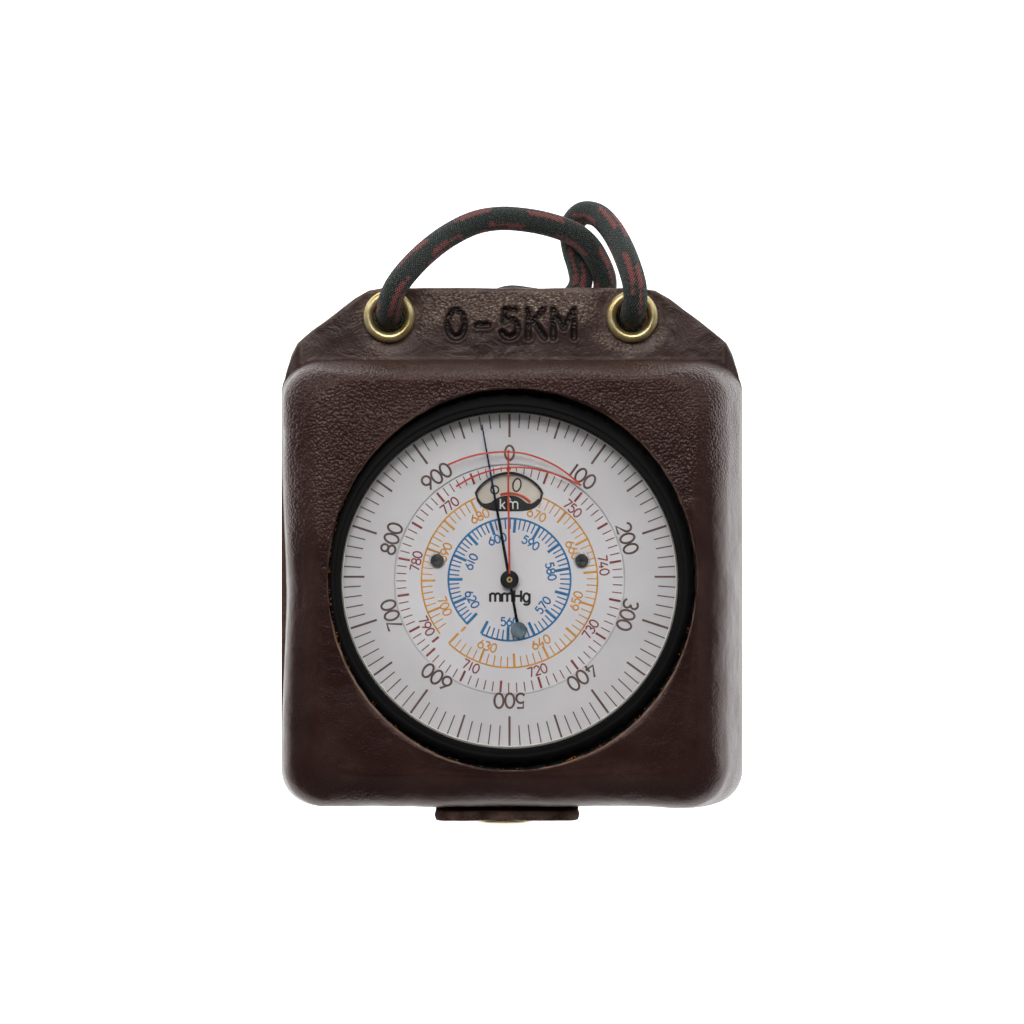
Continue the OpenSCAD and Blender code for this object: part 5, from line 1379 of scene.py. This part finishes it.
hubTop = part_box("pointer_hub")[1][2] / mm
bushFinish = madeFinish("turnedHubBush", ["#c8a868", "#dcc08c"], 0.4, 0.4, 1.0, 0.1, 0.004)
bush = joinPieces("hubBush", [
    strokePiece("bushRing", [circleLine(0.42)], 0.2, hubTop + 0.02, bushFinish),
    # painted shade: a black dot stands for the dark hole in the bush's middle
    strokePiece("bushHoleShade", [circleLine(0.1, steps=12)], 0.2, hubTop + 0.02, inkBlack),
])
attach(bush, "pointer_unit")

# a pale strip of dial shows in the gap under the altitude ring; a white ring under the crystal's edge,
# brighter than the cream ring beside it, is a painted highlight for the lit edge there
gapStrip = strokePiece("gapStrip", [circleLine(20.7, steps=240)], 0.2, 21.97, dialPaint)
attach(gapStrip, "case")
lipHighlightFinish = madeFinish("paintedCrystalLipHighlight", ["#dedbd2", "#ebe8e0"], 0.5, 0.0, 4.0, 0.2, 0.004)
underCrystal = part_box("crystal")[0][2] / mm - 0.03
crystalLipHighlight = strokePiece("crystalLipHighlight", [circleLine(29.9, steps=240)], 0.22, underCrystal, lipHighlightFinish)
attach(crystalLipHighlight, "bezel_unit")

# painted highlight: a bright ring round each of the dial's screws stands in for the lit rim of its dimple
dimpleHighlightFinish = madeFinish("paintedDimpleRimHighlight", ["#e8e8e6", "#f4f4f2"], 0.25, 0.4, 2.0, 0.1, 0.004)
dimpleHighlights = strokePiece(
    "screwDimpleHighlights", [circleLine(1.42, (x, 3.4)) for x in (-13, 13)], 0.24, printLevel, dimpleHighlightFinish
)
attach(dimpleHighlights, "case")
print("dial printed")


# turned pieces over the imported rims
def turnedRing(name, middle, profile, columns, material, grips=0, gripOut=0.0, gripShare=0.35):
    # profile goes up the outside: radius, height, share of the grip that stands out there
    turn = np.arange(columns) * 2 * math.pi / columns
    phase = (turn * grips / (2 * math.pi)) % 1
    bump = gripOut * np.sqrt(np.maximum(1 - ((phase - 0.5) / (gripShare / 2)) ** 2, 0))
    points = []
    for radius, height, share in profile:
        out = radius + bump * share
        ring = [middle[0] + out * np.cos(turn), middle[1] + out * np.sin(turn), np.full(columns, height)]
        points.append(np.stack(ring, 1))
    return meshPiece(name, np.concatenate(points), bandFaces(len(profile), columns, closed=True), [material])


# sloping foot of the bezel's crown; its half-round grips show in the slot beside the leather
skirtProfile = [(31.2, 25.2, 0), (31.4, 24.05, 0), (32.8, 24.05, 0), (33.0, 24.18, 1), (33.0, 24.5, 1),
                (32.85, 24.78, 0.3), (32.5, 25.4, 0), (31.95, 26.12, 0), (31.3, 26.59, 0)]
skirt = turnedRing("bezelSkirt", (0, 0), skirtProfile, 636, bezelEnamel, grips=53, gripOut=0.3)
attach(skirt, "bezel_unit")
rimShape = {"radius": 3.84, "level": 12.32, "halfWidth": 0.9, "halfHeight": 0.86}
rimProfile = [
    (rimShape["radius"] + rimShape["halfWidth"] * math.cos(2 * math.pi * k / 20),
     rimShape["level"] + rimShape["halfHeight"] * math.sin(2 * math.pi * k / 20), 0)
    for k in range(20)
]
for rimName, middle in zip(("leftEyeletRim", "rightEyeletRim"), lugShape["eyelets"]):
    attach(turnedRing(rimName, middle, rimProfile, 72, eyeletBrass), "case")
print("bezel foot and eyelet rims turned")


# loose fibres on the cut edge of the opening
def fibreTree():
    tree, given = newTree("edgeFibres", {
        "Edge": "Geometry", "Spacing": "Float", "Fibre width": "Float", "Seed": "Int", "Fibre": "Material",
    }, "Fibres")

    def drawnVector(low, high):
        inputs = {0: low, 1: high, "Seed": given["Seed"]}
        return addNode(tree, "FunctionNodeRandomValue", inputs, data_type="FLOAT_VECTOR").outputs[0]

    line = addNode(tree, "GeometryNodeMeshToCurve", {"Mesh": given["Edge"]})
    spaced = {"Curve": line.outputs[0], "Length": given["Spacing"]}
    spots = addNode(tree, "GeometryNodeCurveToPoints", spaced, mode="LENGTH")
    gaps = addNode(
        tree, "FunctionNodeRandomValue", {"Probability": 0.45, "Seed": given["Seed"]}, data_type="BOOLEAN"
    )
    thinned = {"Geometry": spots.outputs[0], "Selection": gaps.outputs[3]}
    left = addNode(tree, "GeometryNodeDeleteGeometry", thinned)
    crumb = addNode(tree, "GeometryNodeMeshIcoSphere", {"Radius": given["Fibre width"], "Subdivisions": 1})
    shift = drawnVector((-0.0003,) * 3, (0.0003,) * 3)
    moved = addNode(tree, "GeometryNodeSetPosition", {"Geometry": left.outputs[0], "Offset": shift})
    laid = addNode(tree, "GeometryNodeInstanceOnPoints", {
        "Points": moved.outputs[0], "Instance": crumb.outputs[0],
        "Rotation": drawnVector((0, 0, 0), (6.28,) * 3), "Scale": drawnVector((0.5,) * 3, (1.4, 2.8, 1.2)),
    })
    return endTree(tree, laid.outputs[0], given["Fibre"])


fibreRuns = {
    # name: (from, to in degrees, spacing, width, seed)
    "edgeFibres": (150, 345, 0.55, 0.1, 5),
    "sideTufts": (176, 200, 0.4, 0.18, 8),
    "lowTufts": (283, 301, 0.4, 0.18, 11),
}
# just outside the opening's edge, level with the cut side of the leather
fibreEdge = {"halfWidth": 32.85, "halfHeight": 34.05, "level": 26.2}
fibreGrower = fibreTree()
for runName, (first, last, spacing, width, seed) in fibreRuns.items():
    angles = np.radians(np.linspace(first, last, int((last - first) * 1.4)))
    edge = [(shiftX + fibreEdge["halfWidth"] * math.cos(t), fibreEdge["halfHeight"] * math.sin(t),
             fibreEdge["level"]) for t in angles]
    edgeMesh = bpy.data.meshes.new(runName + "Edge")
    edgePoints = [tuple(v * mm for v in point) for point in edge]
    edgeMesh.from_pydata(edgePoints, [(i, i + 1) for i in range(len(edge) - 1)], [])
    fibres = grownPiece(
        runName, fibreGrower,
        {"Spacing": spacing * mm, "Fibre width": width * mm, "Seed": seed, "Fibre": fibreLeather},
        edgeMesh,
    )
    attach(fibres, "case")
print("edge fibres scattered")

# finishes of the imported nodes
finishNodes = [
    (steelFinish, "eyelet_washers cover_screws bezel_spring_ring dial_pillars km_stud rocking_shaft"),
    (steelFinish, "capsule_link yoke_pillars plate_screws bridge_pillars bridge_screws hairspring_stud"),
    (movementBrass, "km_wheel transfer_wheel sector_gear shaft_brackets capsule_yoke base_plate top_bridge"),
    (eyeletBrass, "left_eyelet right_eyelet"), (capBrass, "snap_cap"), (studBrass, "snap_stud snap_rivet"),
    (brassFinish, "snap_socket centre_arbor"), (housingPaint, "housing rear_cover"),
    (bezelEnamel, "bezel ring_retainer"), (crystalClear, "crystal"), (reflectorPaint, "crystal_spacer"),
    (ringPaint, "altitude_ring"), (dialPaint, "pressure_dial"), (darkScrewSteel, "dial_screws"),
    (discPaint, "km_disc"), (pointerBlue, "pointer"), (hubBlack, "pointer_hub"),
    (bimetalFinish, "bimetal_arm"), (capsuleSilver, "aneroid_capsules"), (springBlue, "hairspring"),
    (rubyFinish, "jewels"), (indexRed, "red_index"),
]
nodeFinish = {node: finish for finish, named in finishNodes for node in named.split()}
for name, piece in nodes.items():
    finish = nodeFinish.get(name, grainLeather)
    piece.data.materials.clear()
    piece.data.materials.append(finish)
print("nodes finished:", len(nodeFinish))
